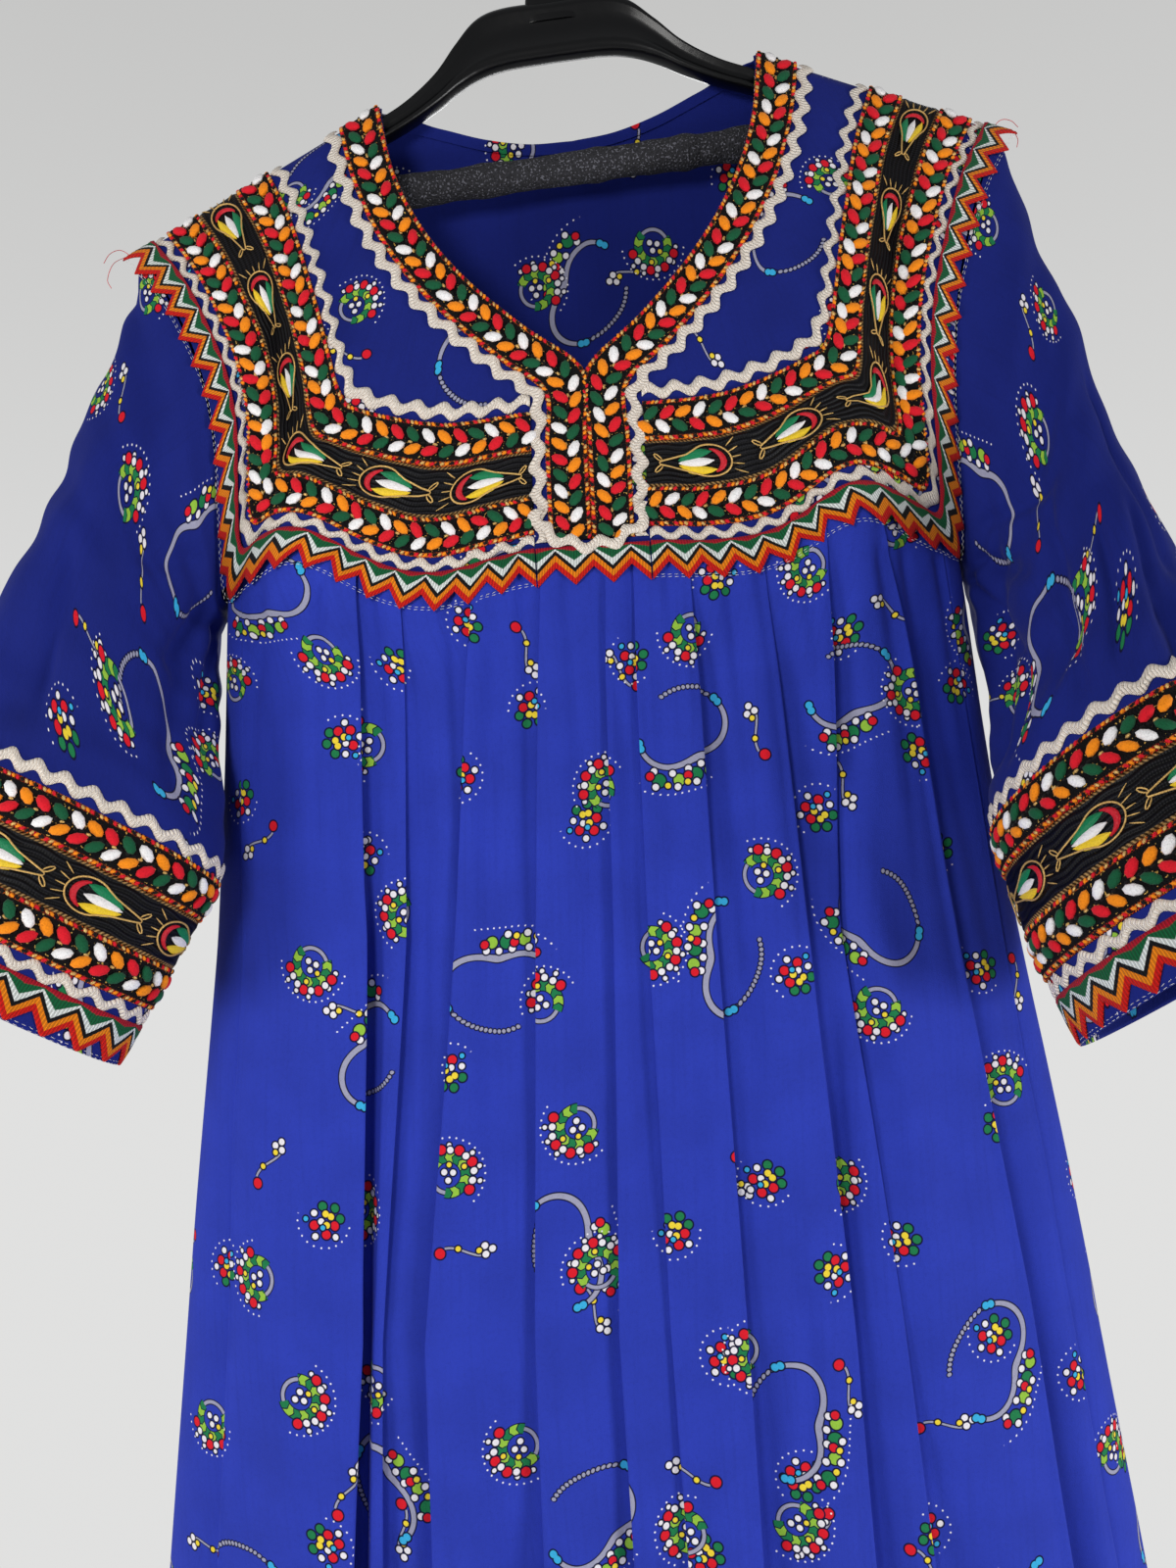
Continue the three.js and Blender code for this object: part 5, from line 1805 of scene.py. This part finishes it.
class Sleeve:
    """A sleeve from its armhole to the mouth of its cuff, with its small folds."""

    AROUND = 200
    DOWN = 190

    def __init__(
        self, hand: Hand, table: Sequence[tuple[tuple, tuple, float]], creases: Sequence[tuple], seed: int
    ) -> None:
        """Works out the sleeve's surface.

        Args:
            hand: Which sleeve it is.
            table: Its rings below the armhole.
            creases: Each crease's start, end, height and width, in shares round and down the sleeve.
            seed: Seed of its small wrinkles.
        """
        self.hand = hand
        turn = np.linspace(0, 2 * math.pi, self.AROUND, endpoint=False)
        rings = [self._armhole(turn)]
        for j, (inner, outer, deep) in enumerate(table):
            inner, outer = np.array(inner, float), np.array(outer, float)
            across = (outer - inner) / 2
            run = np.array(table[min(j + 1, len(table) - 1)][0], float) - np.array(table[max(j - 1, 0)][0], float)
            run /= np.hypot(run[1], run[2])
            forward = np.array((0.0, run[2], -run[1]) if j else (0.0, -1.0, 0.0)) * deep
            rings.append((inner + outer) / 2 + np.cos(turn)[:, None] * across + np.sin(turn)[:, None] * forward)
        stack = np.array(rings)
        points = through(stack.reshape(len(stack), -1), self.DOWN).reshape(self.DOWN, self.AROUND, 3)
        points = hang(hand.value * points[..., 0], points[..., 1], points[..., 2])
        self.turned = 1.0
        normals = grid_normals(points, ring=True)
        if np.einsum("ijk,ijk->", points - points.mean(axis=1, keepdims=True), normals) < 0:
            self.turned = -1.0
        lift = self._folds(creases, seed)
        points = points + normals * self.turned * lift[..., None]
        self.points = points
        self.normals = grid_normals(points, ring=True) * self.turned

    def _armhole(self, turn: Array) -> Array:
        """The armhole's loop, up the front from the shoulder and back behind."""
        z = mix(ARMPIT_Z, TIP_Z, (1 + np.cos(turn)) / 2)
        x = body(HALF, z) + 0.6
        front = -depth(Side.FRONT, x, z)
        back = depth(Side.BACK, x, z)
        y = np.where(np.sin(turn) >= 0, front, back) * smooth(np.abs(np.sin(turn)) * 6)
        return np.stack([x, y, z], axis=1)

    def _folds(self, creases: Sequence[tuple], seed: int) -> Array:
        """Heights of the sleeve's folds."""
        down, around = np.meshgrid(np.linspace(0, 1, self.DOWN), np.arange(self.AROUND) / self.AROUND, indexing="ij")
        lift = np.zeros(down.shape)
        for (a0, w0), (a1, w1), height, wide in creases:
            t = np.clip((down - w0) / (w1 - w0 + 1e-9), 0, 1)
            off = (around - mix(a0, a1, t) + 0.5) % 1 - 0.5
            lift += height * bell(off / wide) * smooth((down - w0) / 0.06) * smooth((w1 - down) / 0.06)
        wrinkle = soft_noise(down.shape, (4.0, 9.0), seed)
        wrinkle = blurred(np.concatenate([wrinkle[:, -12:], wrinkle, wrinkle[:, :12]], axis=1), 3.0, 1)[:, 12:-12]
        held = smooth(down / 0.08) * smooth((CUFF_START + 0.02 - down) / 0.12)
        return lift * smooth(down / 0.05) + wrinkle * 1.1 * held

    def place(self, along: Array, across: Array) -> tuple[Array, Array]:
        """Points and normals of the cuff, from a share round it and a share down it."""
        row = np.clip(mix(CUFF_START, 1.0, across), 0, 1) * (self.DOWN - 1)
        column = (along * self.AROUND) % self.AROUND
        r, c = np.minimum(row.astype(int), self.DOWN - 2), column.astype(int) % self.AROUND
        fr, fc = (row - r)[..., None], (column - c)[..., None]
        nxt = (c + 1) % self.AROUND
        both = []
        for grid in (self.points, self.normals):
            both.append(mix(mix(grid[r, c], grid[r, nxt], fc), mix(grid[r + 1, c], grid[r + 1, nxt], fc), fr))
        return both[0], both[1] / np.linalg.norm(both[1], axis=-1, keepdims=True)

    def cloth(self, material: Material) -> Object:
        """The sleeve's cloth, with its cuff turned in."""
        points, normals = self.points, self.normals
        closed = np.concatenate([points, points[:, :1]], axis=1)
        across = row_lengths(closed)
        down = row_lengths(closed.transpose(1, 0, 2)).T
        uv = np.stack([across - across[:, -1:] / 2, -down], axis=-1) * MM
        grid = np.concatenate([points, turned_in(points, normals, 7)])
        places = np.concatenate([uv, uv[-1:-8:-1]])
        return grid_object(f"sleeve_cloth_{self.hand.word}", grid, places, material, ring=True, flip=self.turned < 0)


# start and end as shares round and down the sleeve, height and half width round it
RIGHT_FOLDS = (
    ((0.2, 0.56), (0.27, 1.02), -6.5, 0.018),
    ((0.16, 0.6), (0.215, 1.02), 3.0, 0.03),
    ((0.4, 0.12), (0.52, 0.62), -4.0, 0.022),
    ((0.46, 0.1), (0.58, 0.6), 3.0, 0.025),
    ((0.34, 0.08), (0.4, 0.5), 3.0, 0.03),
    ((0.62, 0.1), (0.7, 0.64), -4.0, 0.03),
    ((0.1, 0.16), (0.06, 0.62), 2.5, 0.04),
    ((0.8, 0.2), (0.86, 0.9), -3.0, 0.04),
    ((0.44, 0.06), (0.36, 0.4), -4.0, 0.013),
    ((0.48, 0.08), (0.43, 0.46), -3.6, 0.012),
    ((0.4, 0.05), (0.28, 0.34), -3.2, 0.012),
    ((0.3, 0.3), (0.38, 0.62), -3.2, 0.012),
    ((0.25, 0.42), (0.3, 0.66), -3.4, 0.011),
    ((0.34, 0.46), (0.345, 0.67), -3.2, 0.011),
    ((0.18, 0.44), (0.235, 0.66), -3.0, 0.012),
    ((0.13, 0.3), (0.17, 0.6), -2.6, 0.012),
    ((0.42, 0.4), (0.47, 0.66), -3.4, 0.012),
)
LEFT_FOLDS = (
    ((0.44, 0.06), (0.38, 0.4), -3.2, 0.013),
    ((0.48, 0.08), (0.46, 0.46), -3.0, 0.012),
    ((0.38, 0.05), (0.3, 0.3), -2.6, 0.012),
    ((0.2, 0.36), (0.24, 0.64), -2.4, 0.012),
    ((0.3, 0.08), (0.2, 0.66), -4.0, 0.03),
    ((0.22, 0.1), (0.12, 0.7), 3.0, 0.035),
    ((0.42, 0.1), (0.4, 0.62), -4.0, 0.022),
    ((0.48, 0.12), (0.5, 0.6), 3.0, 0.03),
    ((0.66, 0.1), (0.7, 0.8), -3.5, 0.035),
    ((0.05, 0.3), (0.02, 0.9), -2.0, 0.03),
    ((0.33, 0.6), (0.36, 1.02), -2.5, 0.03),
)


# ---- Trims -------------------------------------------------------------------------------------
@dataclass(frozen=True)
class Share:
    """Where a trim lies across its strips.

    Attributes:
        name: Name of the trim.
        start: Share at which it starts.
        end: Share at which it ends.
    """

    name: str
    start: float
    end: float


SHARES = (
    Share("rick_inner", 0.0, 0.085),
    Share("braid_inner", 0.095, 0.3),
    Share("ribbon", 0.3, 0.535),
    Share("braid_outer", 0.535, 0.735),
    Share("rick_outer", 0.74, 0.81),
    Share("zigzag", 0.81, 0.965),
)


class Trimmings:
    """Every trim, laid along its lane, with its yarn, stitches and embroidery."""

    BRAID_HEIGHTS = (0.3, 1.3, 1.5, 0.9, 0.7, 0.8, 0.8, 0.7, 0.9, 1.5, 1.3, 0.3)
    RIBBON_HEIGHTS = (0.5, 1.0, 0.7, 0.6, 0.6, 0.6, 0.6, 0.7, 1.0, 0.5)
    RICK_HEIGHTS = (0.2, 0.9, 1.1, 0.9, 0.2)
    ZIGZAG_HEIGHTS = (0.8, 1.3, 1.0, 1.3, 1.1, 1.3, 1.1, 1.3, 1.1, 1.3, 1.0, 1.1, 0.6)
    RICK_WAVE, TOOTH_REACH = 1.9, 4.2  # how far the rickrack and the teeth swing out
    RICK_PITCH = 13.0
    TOOTH = 15.6
    LEAF_PITCH = 7.7
    SPRIG_PITCH = 45.0

    def __init__(self, finishes: Finishes) -> None:
        """Starts the shared repeats."""
        self.finishes = finishes
        self.pieces: dict[str, list[Object]] = {}
        self.leaves = Tufts("braid_leaves", 8.8, 5.0, 3.2, finishes.leaves, 8, 6)
        self.bits = Tufts("braid_edges", 2.9, 1.7, 1.6, finishes.bits, 5, 4)
        self.stitches = Tufts("band_stitches", 2.2, 0.26, 0.26, [finishes.thread], 5, 4)
        self.sprigs = Sprig(finishes.satin)

    def braid(self, name: str, lane: Lane) -> Object:
        """A braid of slanting yarn leaves with twisted edges."""
        piece = Band(name, lane, self.finishes.braid, self.BRAID_HEIGHTS, step=2.6).build()
        self.leaves.row(lane, 0.33, self.LEAF_PITCH, 40, (0, 3, 1, 2), 0.0, 1.6)
        self.leaves.row(lane, 0.67, self.LEAF_PITCH, -40, (1, 2, 0, 3), 0.4, 1.6)
        for across, slant, first in ((0.06, 42, 0), (0.94, -42, 2)):
            order = (0, 2, 1, 3, 0, 1, 2, 3)
            self.bits.row(lane, across, 2.1, slant, order[first:] + order[:first], 0.0, 1.3)
        self.bits.row(lane, 0.5, 2.9, 0, (2, 3, 2, 2), 0.0, 0.9)
        return piece

    def rickrack(self, name: str, lane: Lane, lay: float = 0.4) -> Object:
        """A wavy woven tape, laid at a height above the cloth."""
        _, pitch = lane.fit(self.RICK_PITCH)

        def wave(s: Array, t: Array) -> Array:
            """Sideways shift of the tape."""
            return self.RICK_WAVE * np.sin(2 * np.pi * s / pitch) + 0 * t

        band = Band(name, lane, self.finishes.rickrack, self.RICK_HEIGHTS, wave=wave, lay=lay, per_wave=(10, pitch))
        return band.build()

    def ribbon(self, name: str, lane: Lane) -> Object:
        """A black ribbon with embroidered leaves."""
        piece = Band(name, lane, self.finishes.ribbon, self.RIBBON_HEIGHTS, step=2.6).build()
        count, step = lane.fit(self.SPRIG_PITCH)
        for k in range(count):
            self.sprigs.add(lane, (k + 0.5) * step)
        return piece

    def zigzag(self, name: str, lane: Lane, lay: float) -> Object:
        """A band of stitched rows whose outer edge is pointed."""
        _, pitch = lane.fit(self.TOOTH)

        def wave(s: Array, t: Array) -> Array:
            """Sideways shift of the rows."""
            saw = 2 * np.abs(2 * (s / pitch % 1) - 1) - 1
            return self.TOOTH_REACH * saw * smooth(t * 2.2) + 0 * s

        band = Band(name, lane, self.finishes.zigzag, self.ZIGZAG_HEIGHTS, lay=lay, wave=wave, per_wave=(12, pitch))
        return band.build()

    def lay_frame(self, place: Place, closed: bool, label: str, hand: Hand, lay: float) -> list[Object]:
        """The six trims of a frame or a cuff.

        Args:
            place: Gives the cloth's points and normals.
            closed: Whether the trims run right round.
            label: First word of the names of the pieces.
            hand: Which half it is.
            lay: Height of the zigzag band above the cloth.

        Returns:
            The pieces.
        """
        made = []
        for share in SHARES:
            name = f"{label}_{share.name}_{hand.word}_trim"
            kind = share.name.split("_")[0]
            slim = 0.17 * (share.end - share.start) if kind == "rick" else 0.0
            lane = Lane(place, share.start + slim, share.end - slim, closed)
            if kind == "rick":
                piece = self.rickrack(name, lane)
            elif kind == "braid":
                piece = self.braid(name, lane)
            elif kind == "ribbon":
                piece = self.ribbon(name, lane)
            else:
                piece = self.zigzag(name, lane, lay)
            dress_piece(piece, f"{label}_{share.name}_{hand.word}")
            made.append(piece)
        below = Lane(place, 0.985, 0.998, closed)
        for across in (0.0, 1.0):
            self.stitches.row(below, across, 3.1, 0, (0,), 0.0, lay - 0.2)
        return made

    def lay_neck(self, strips: Strips) -> list[Object]:
        """The braid and the rickrack along the neck and the placket."""
        word = strips.hand.word
        braid = self.braid(f"neck_braid_{word}_trim", Lane(strips.place, 0.0, 20 / NECK_REACH, False))
        beside = Lane(strips.place, 20.8 / NECK_REACH, 26.4 / NECK_REACH, False)
        rick = self.rickrack(f"neck_rick_{word}_trim", beside, 0.9)
        dress_piece(braid, f"neck_braid_{word}")
        dress_piece(rick, f"neck_rick_{word}")
        return [braid, rick]

    def lay_foot(self, lay: float) -> list[Object]:
        """The zigzag band and the rickrack where both halves meet under the placket.

        Args:
            lay: Height of the zigzag band above the cloth.

        Returns:
            The pieces.
        """
        x = np.linspace(-26.4, 26.4, 60)
        edges = [np.stack([x, np.full(60, z)], axis=1) for z in (-268.0, -359.5)]
        band = next(share for share in SHARES if share.name == "zigzag")
        strips = Strips(edges[0], edges[1], Hand.RIGHT)
        zigzag = self.zigzag("yoke_zigzag_middle", Lane(strips.place, band.start, band.end, False), lay)
        half = np.array([(6, -342), (17, -338), (24, -331), (24, -324)], float)
        bow = through(np.vstack([half[::-1] * (-1, 1), half]), 80)
        run = np.gradient(bow, axis=0)
        aside = np.stack([-run[:, 1], run[:, 0]], axis=1) / np.linalg.norm(run, axis=1, keepdims=True)
        strips = Strips(bow + 2.7 * aside, bow - 2.7 * aside, Hand.RIGHT)
        rick = self.rickrack("placket_rick_foot", Lane(strips.place, 0.0, 1.0, False), 2.4)
        dress_piece(zigzag, None)
        dress_piece(rick, None)
        return [zigzag, rick]

    def shared(self) -> list[Object]:
        """The leaves, edges, stitches and embroidery of all the trims."""
        made = []
        for tufts, slot in ((self.leaves, "braid"), (self.bits, "braid"), (self.stitches, "zigzag")):
            piece = tufts.build()
            dress_piece(piece, None)
            made.append(piece)
        sprigs = self.sprigs.build("ribbon_leaves")
        dress_piece(sprigs, None)
        return [*made, sprigs]


def dress_piece(piece: Object, node: str | None) -> None:
    """Says what a piece rides on and hides the solid that it stands for.

    Args:
        piece: The piece.
        node: The solid that it stands for, or None.
    """
    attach(piece, BODY_NAME)
    if node:
        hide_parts(node)
    LOG.info("%s: %d faces", piece.name, len(piece.data.polygons))


# ---- Hanger ------------------------------------------------------------------------------------
@dataclass
class Hanger:
    """The clothes hanger: hook, arms with flanges, and the foam covered bar.

    Attributes:
        finishes: The materials.
        wire: Radius of the hook.
        bend: Radius of the hook's bow.
        bar_z: Height of the bar.
        foam: Radius of the foam.
        foam_reach: Half length of the foam.
        bar_reach: Half length of the bar.
    """

    finishes: Finishes
    wire: float = 2.4
    bend: float = 22.0
    bar_z: float = -145.0
    foam: float = 8.0
    foam_reach: float = 122.0
    bar_reach: float = 156.0
    arm: Array = field(
        default_factory=lambda: np.array(
            [(0, -62, -90, 5), (24, -62, -90.5, 5), (38, -66, -93, 5), (50, -77, -98, 5), (62, -90, -105, 4.8)]
            + [(78, -101.5, -113, 4.6), (97, -110.5, -121, 4.4), (150, -134, -144, 4.2), (190, -152.5, -161, 3.8)],
            float,
        )
    )

    @staticmethod
    def _tilted(points: Array) -> Array:
        """Points turned with the hanger as it hangs askew."""
        angle = math.atan(TILT)
        x, z = points[..., 0], points[..., 2]
        turned = np.array(points, float)
        turned[..., 0] = x * math.cos(angle) - z * math.sin(angle)
        turned[..., 2] = z * math.cos(angle) + x * math.sin(angle)
        return turned

    def _on_bar(self, reach: float, count: int) -> Array:
        """Points along the bar, as far as the reach on both sides."""
        return np.stack([np.linspace(-reach, reach, count), np.zeros(count), np.full(count, self.bar_z)], axis=1)

    def _arms(self) -> tuple[Array, Array]:
        """Points and faces of the arms, whose section has a flange above and below a thinner web."""
        right = through(self.arm, 90)
        rows = np.vstack([right[:0:-1] * (-1, 1, 1, 1), right])
        x, top, foot, thick = rows.T
        high = top - foot
        web = 0.62
        section = [(0.0, 1.0), (0.55, 0.985), (1.0, 0.9), (1.0, 0.8), (web, 0.7), (web, 0.3), (1.0, 0.2), (1.0, 0.08)]
        section += [(0.6, 0.01), (0.0, 0.0)]
        loop = section + [(-a, b) for a, b in section[-2:0:-1]]
        points = np.stack([np.stack([x, a * thick, foot + b * high], axis=1) for a, b in loop], axis=1)
        taper = smooth((TIP_X - 21 - np.abs(x)) / 6)[:, None, None] * 0.75 + 0.25
        middle = points.mean(axis=1, keepdims=True)
        points = middle + (points - middle) * taper
        return points.reshape(-1, 3), grid_faces(*points.shape[:2])

    def _hook(self) -> tuple[Array, Array]:
        """Points and faces of the hook, with a ball at its end."""
        degrees = np.radians(np.arange(-62, 197, 21.5))
        across, up = self.bend * np.cos(degrees), self.bend * np.sin(degrees)
        bow = np.stack([across, 0 * degrees, self.wire - self.bend + up], axis=1)
        path = through(np.vstack([[(0, 0, -68)], [(0, 0, -52)], bow]), 110)
        radii = np.full(len(path), self.wire)
        radii[-6:] = self.wire * np.array([1.0, 1.1, 1.2, 1.15, 0.8, 0.1])
        radii[:30] += np.linspace(1.2, 0, 30)
        return tube(path, radii, 14)

    def _boss(self) -> tuple[Array, Array]:
        """Points and faces of the rounded tab that the hook is set in."""
        heights = np.array([-72, -71.6, -60, -55.6, -54.2, -53.8])
        sizes = np.array([(13, 4.2), (13.2, 4.3), (12.2, 4.2), (11.2, 3.9), (9.0, 3.2), (0.2, 0.2)])
        turn = np.linspace(0, 2 * math.pi, 28, endpoint=False)
        x = np.sign(np.cos(turn)) * np.abs(np.cos(turn)) ** 0.45
        y = np.sign(np.sin(turn)) * np.abs(np.sin(turn)) ** 0.6
        rings = [np.stack([a * x, b * y, np.full(len(turn), h)], axis=1) for h, (a, b) in zip(heights, sizes)]
        return np.vstack(rings), grid_faces(len(heights), len(turn))

    def build(self) -> list[Object]:
        """The hanger's moulded frame and its foam."""
        bar = tube(self._on_bar(self.bar_reach, 40), np.full(40, 3.6), 12)
        points, faces = joined([self._arms(), self._hook(), self._boss(), bar])
        frame = object_from("hanger_moulding", self._tilted(points), faces, None, [self.finishes.plastic])
        dress_piece(frame, "hanger_frame")
        rows = 150
        radii = self.foam + 0.35 * soft_noise((rows, 1), (2.0, 0.5), 3)[:, 0] - 0.4
        radii[[0, -1]] = 4.2
        radii[[1, -2]] = 7.0
        foam_points, foam_faces = tube(self._on_bar(self.foam_reach, rows), radii, 28)
        foam = object_from("hanger_foam", self._tilted(foam_points), foam_faces, None, [self.finishes.foam])
        dress_piece(foam, "hanger_bar_foam")
        return [frame, foam]


# ---- Stage -------------------------------------------------------------------------------------
@dataclass(frozen=True)
class Studio:
    """The camera, the lights and the floor.

    Attributes:
        eye: Where the camera stands, in millimetres.
        roll: How far the camera is turned about its own axis, in degrees.
        lens: Focal length in millimetres on a film 36 mm long.
        floor_z: Height of the floor, in metres.
    """

    eye: tuple[float, float, float] = (0.0, -565.0, -453.0)
    roll: float = -3.54
    lens: float = 1150 / 1600 * 36
    floor_z: float = -1.42

    def camera(self) -> None:
        """Sets up the camera."""
        data = bpy.data.cameras.new("view")
        data.lens = self.lens
        data.sensor_width = 36.0
        data.sensor_fit = "AUTO"
        data.clip_start = 0.01
        made = bpy.data.objects.new("view", data)
        bpy.context.scene.collection.objects.link(made)
        made.location = Vector(self.eye) * MM
        made.rotation_mode = "XYZ"
        made.rotation_euler = (math.pi / 2, 0, 0)
        made.rotation_euler.rotate_axis("Z", math.radians(self.roll))
        bpy.context.scene.camera = made

    def light(self, name: str, at: tuple[float, float, float], size: float, power: float, shade: Colour) -> None:
        """Adds a square lamp that faces the dress."""
        data = bpy.data.lights.new(name, "AREA")
        data.size, data.energy, data.color = size, power, shade
        made = bpy.data.objects.new(name, data)
        bpy.context.scene.collection.objects.link(made)
        made.location = at
        made.rotation_euler = (Vector((0, 0, -0.55)) - Vector(at)).to_track_quat("-Z", "Y").to_euler()

    def build(self) -> None:
        """Makes the whole stage."""
        self.camera()
        self.floor()
        bpy.context.scene.view_settings.view_transform = "Standard"
        self.light("front", (-0.45, -0.95, -0.2), 0.3, 4.4, (1.0, 0.985, 0.96))
        self.light("low_right", (1.25, -0.75, -1.0), 0.4, 12.0, (1.0, 1.0, 1.0))
        self.light("low_left", (-1.2, -0.65, -0.95), 0.4, 6.5, (1.0, 1.0, 1.0))
        self.light("behind", (0.6, 1.9, 0.5), 1.4, 30.0, (1.0, 1.0, 1.0))
        self.world()

    @staticmethod
    def world() -> None:
        """Makes the pale room: bright where it is seen, weaker where it lights the dress."""
        world = bpy.data.worlds.new("pale")
        world.use_nodes = True
        tree = world.node_tree
        lit = tree.nodes["Background"]
        lit.inputs[0].default_value = (0.95, 0.97, 1.0, 1)
        lit.inputs[1].default_value = 0.3
        seen = tree.nodes.new("ShaderNodeBackground")
        which, both = tree.nodes.new("ShaderNodeLightPath"), tree.nodes.new("ShaderNodeMixShader")
        way, parts, fade = (tree.nodes.new("ShaderNode" + kind) for kind in ("TexCoord", "SeparateXYZ", "ValToRGB"))
        tree.links.new(way.outputs["Generated"], parts.inputs[0])
        tree.links.new(parts.outputs[2], fade.inputs[0])
        low, high = fade.color_ramp.elements
        low.position, low.color = 0.0, (0.75, 0.75, 0.745, 1)
        high.position, high.color = 0.6, (0.55, 0.55, 0.545, 1)
        tree.links.new(fade.outputs[0], seen.inputs[0])
        tree.links.new(which.outputs["Is Camera Ray"], both.inputs[0])
        tree.links.new(lit.outputs[0], both.inputs[1])
        tree.links.new(seen.outputs[0], both.inputs[2])
        tree.links.new(both.outputs[0], tree.nodes["World Output"].inputs[0])
        bpy.context.scene.world = world

    def floor(self) -> None:
        """Lays the pale floor."""
        turn = np.linspace(0, 2 * math.pi, 96, endpoint=False)
        rim = np.stack([np.cos(turn), np.sin(turn), 0 * turn], axis=1) * 800
        points = np.vstack([rim, rim * 0.0001]) + (0, 0, self.floor_z / MM)
        k = np.arange(96)
        faces = np.stack([k, (k + 1) % 96, (k + 1) % 96 + 96, k + 96], axis=1)
        paint = Paint("floor_pale", 0.9)
        grain = paint.noise(paint.place(), 6.0)
        material = paint.finish(paint.layer(grain, (0.8, 0.8, 0.79), (0.86, 0.86, 0.85)))
        floor = object_from("floor", points, faces, None, [material])


# ---- The whole dress ---------------------------------------------------------------------------
def loose_threads(material: Material) -> Object:
    """A few cut ends of yarn at the shoulders and the cuffs."""
    ends = (
        ((-214, -2, -176), (-219, -6, -181), (-222, -7, -189), (-220, -8, -194)),
        ((-212, 0, -175), (-217, -1, -172), (-222, -2, -174), (-225, -3, -179)),
        ((222, -3, -143), (229, -5, -141), (232, -7, -147), (231, -8, -152)),
        ((220, -2, -141), (225, -4, -136), (230, -5, -137), (233, -6, -141)),
        ((243, -152, -566), (247, -156, -573), (246, -158, -581), (249, -158, -586)),
    )
    points, faces = joined([tube(through(np.array(end, float), 14), np.full(14, 0.16), 5) for end in ends])
    return object_from("loose_threads", points, faces, None, [material])


def main() -> None:
    """Builds the dress, its hanger and the stage, piece by piece."""
    logging.basicConfig(level=logging.INFO, format="%(name)s: %(message)s", stream=sys.stdout)
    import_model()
    Studio().build()
    finishes = Finishes()
    panels = Panels(finishes)
    yoke, skirt, back = panels.yoke(), panels.front_skirt(), panels.back()
    for piece, node in ((yoke, "front_yoke"), (skirt, "front_skirt"), (back, "back_panel")):
        dress_piece(piece, node)
    trims = Trimmings(finishes)
    on_yoke: list[Object] = []
    for hand, table, folds, seed in (
        (Hand.RIGHT, RIGHT_SLEEVE, RIGHT_FOLDS, 31),
        (Hand.LEFT, LEFT_SLEEVE, LEFT_FOLDS, 47),
    ):
        sleeve = Sleeve(hand, table, folds, seed)
        cloth = sleeve.cloth(finishes.bodice)
        dress_piece(cloth, f"sleeve_{hand.word}")
        cuff = trims.lay_frame(sleeve.place, True, "cuff", hand, 0.3)
        on_yoke += trims.lay_frame(frame_strips(hand).place, False, "yoke", hand, 1.1)
        on_yoke += trims.lay_neck(neck_strips(hand))
    on_yoke += trims.lay_foot(1.1)
    shared = trims.shared()
    Hanger(finishes).build()
    threads = loose_threads(finishes.leaves[1])
    dress_piece(threads, None)


if __name__ == "__main__":
    main()
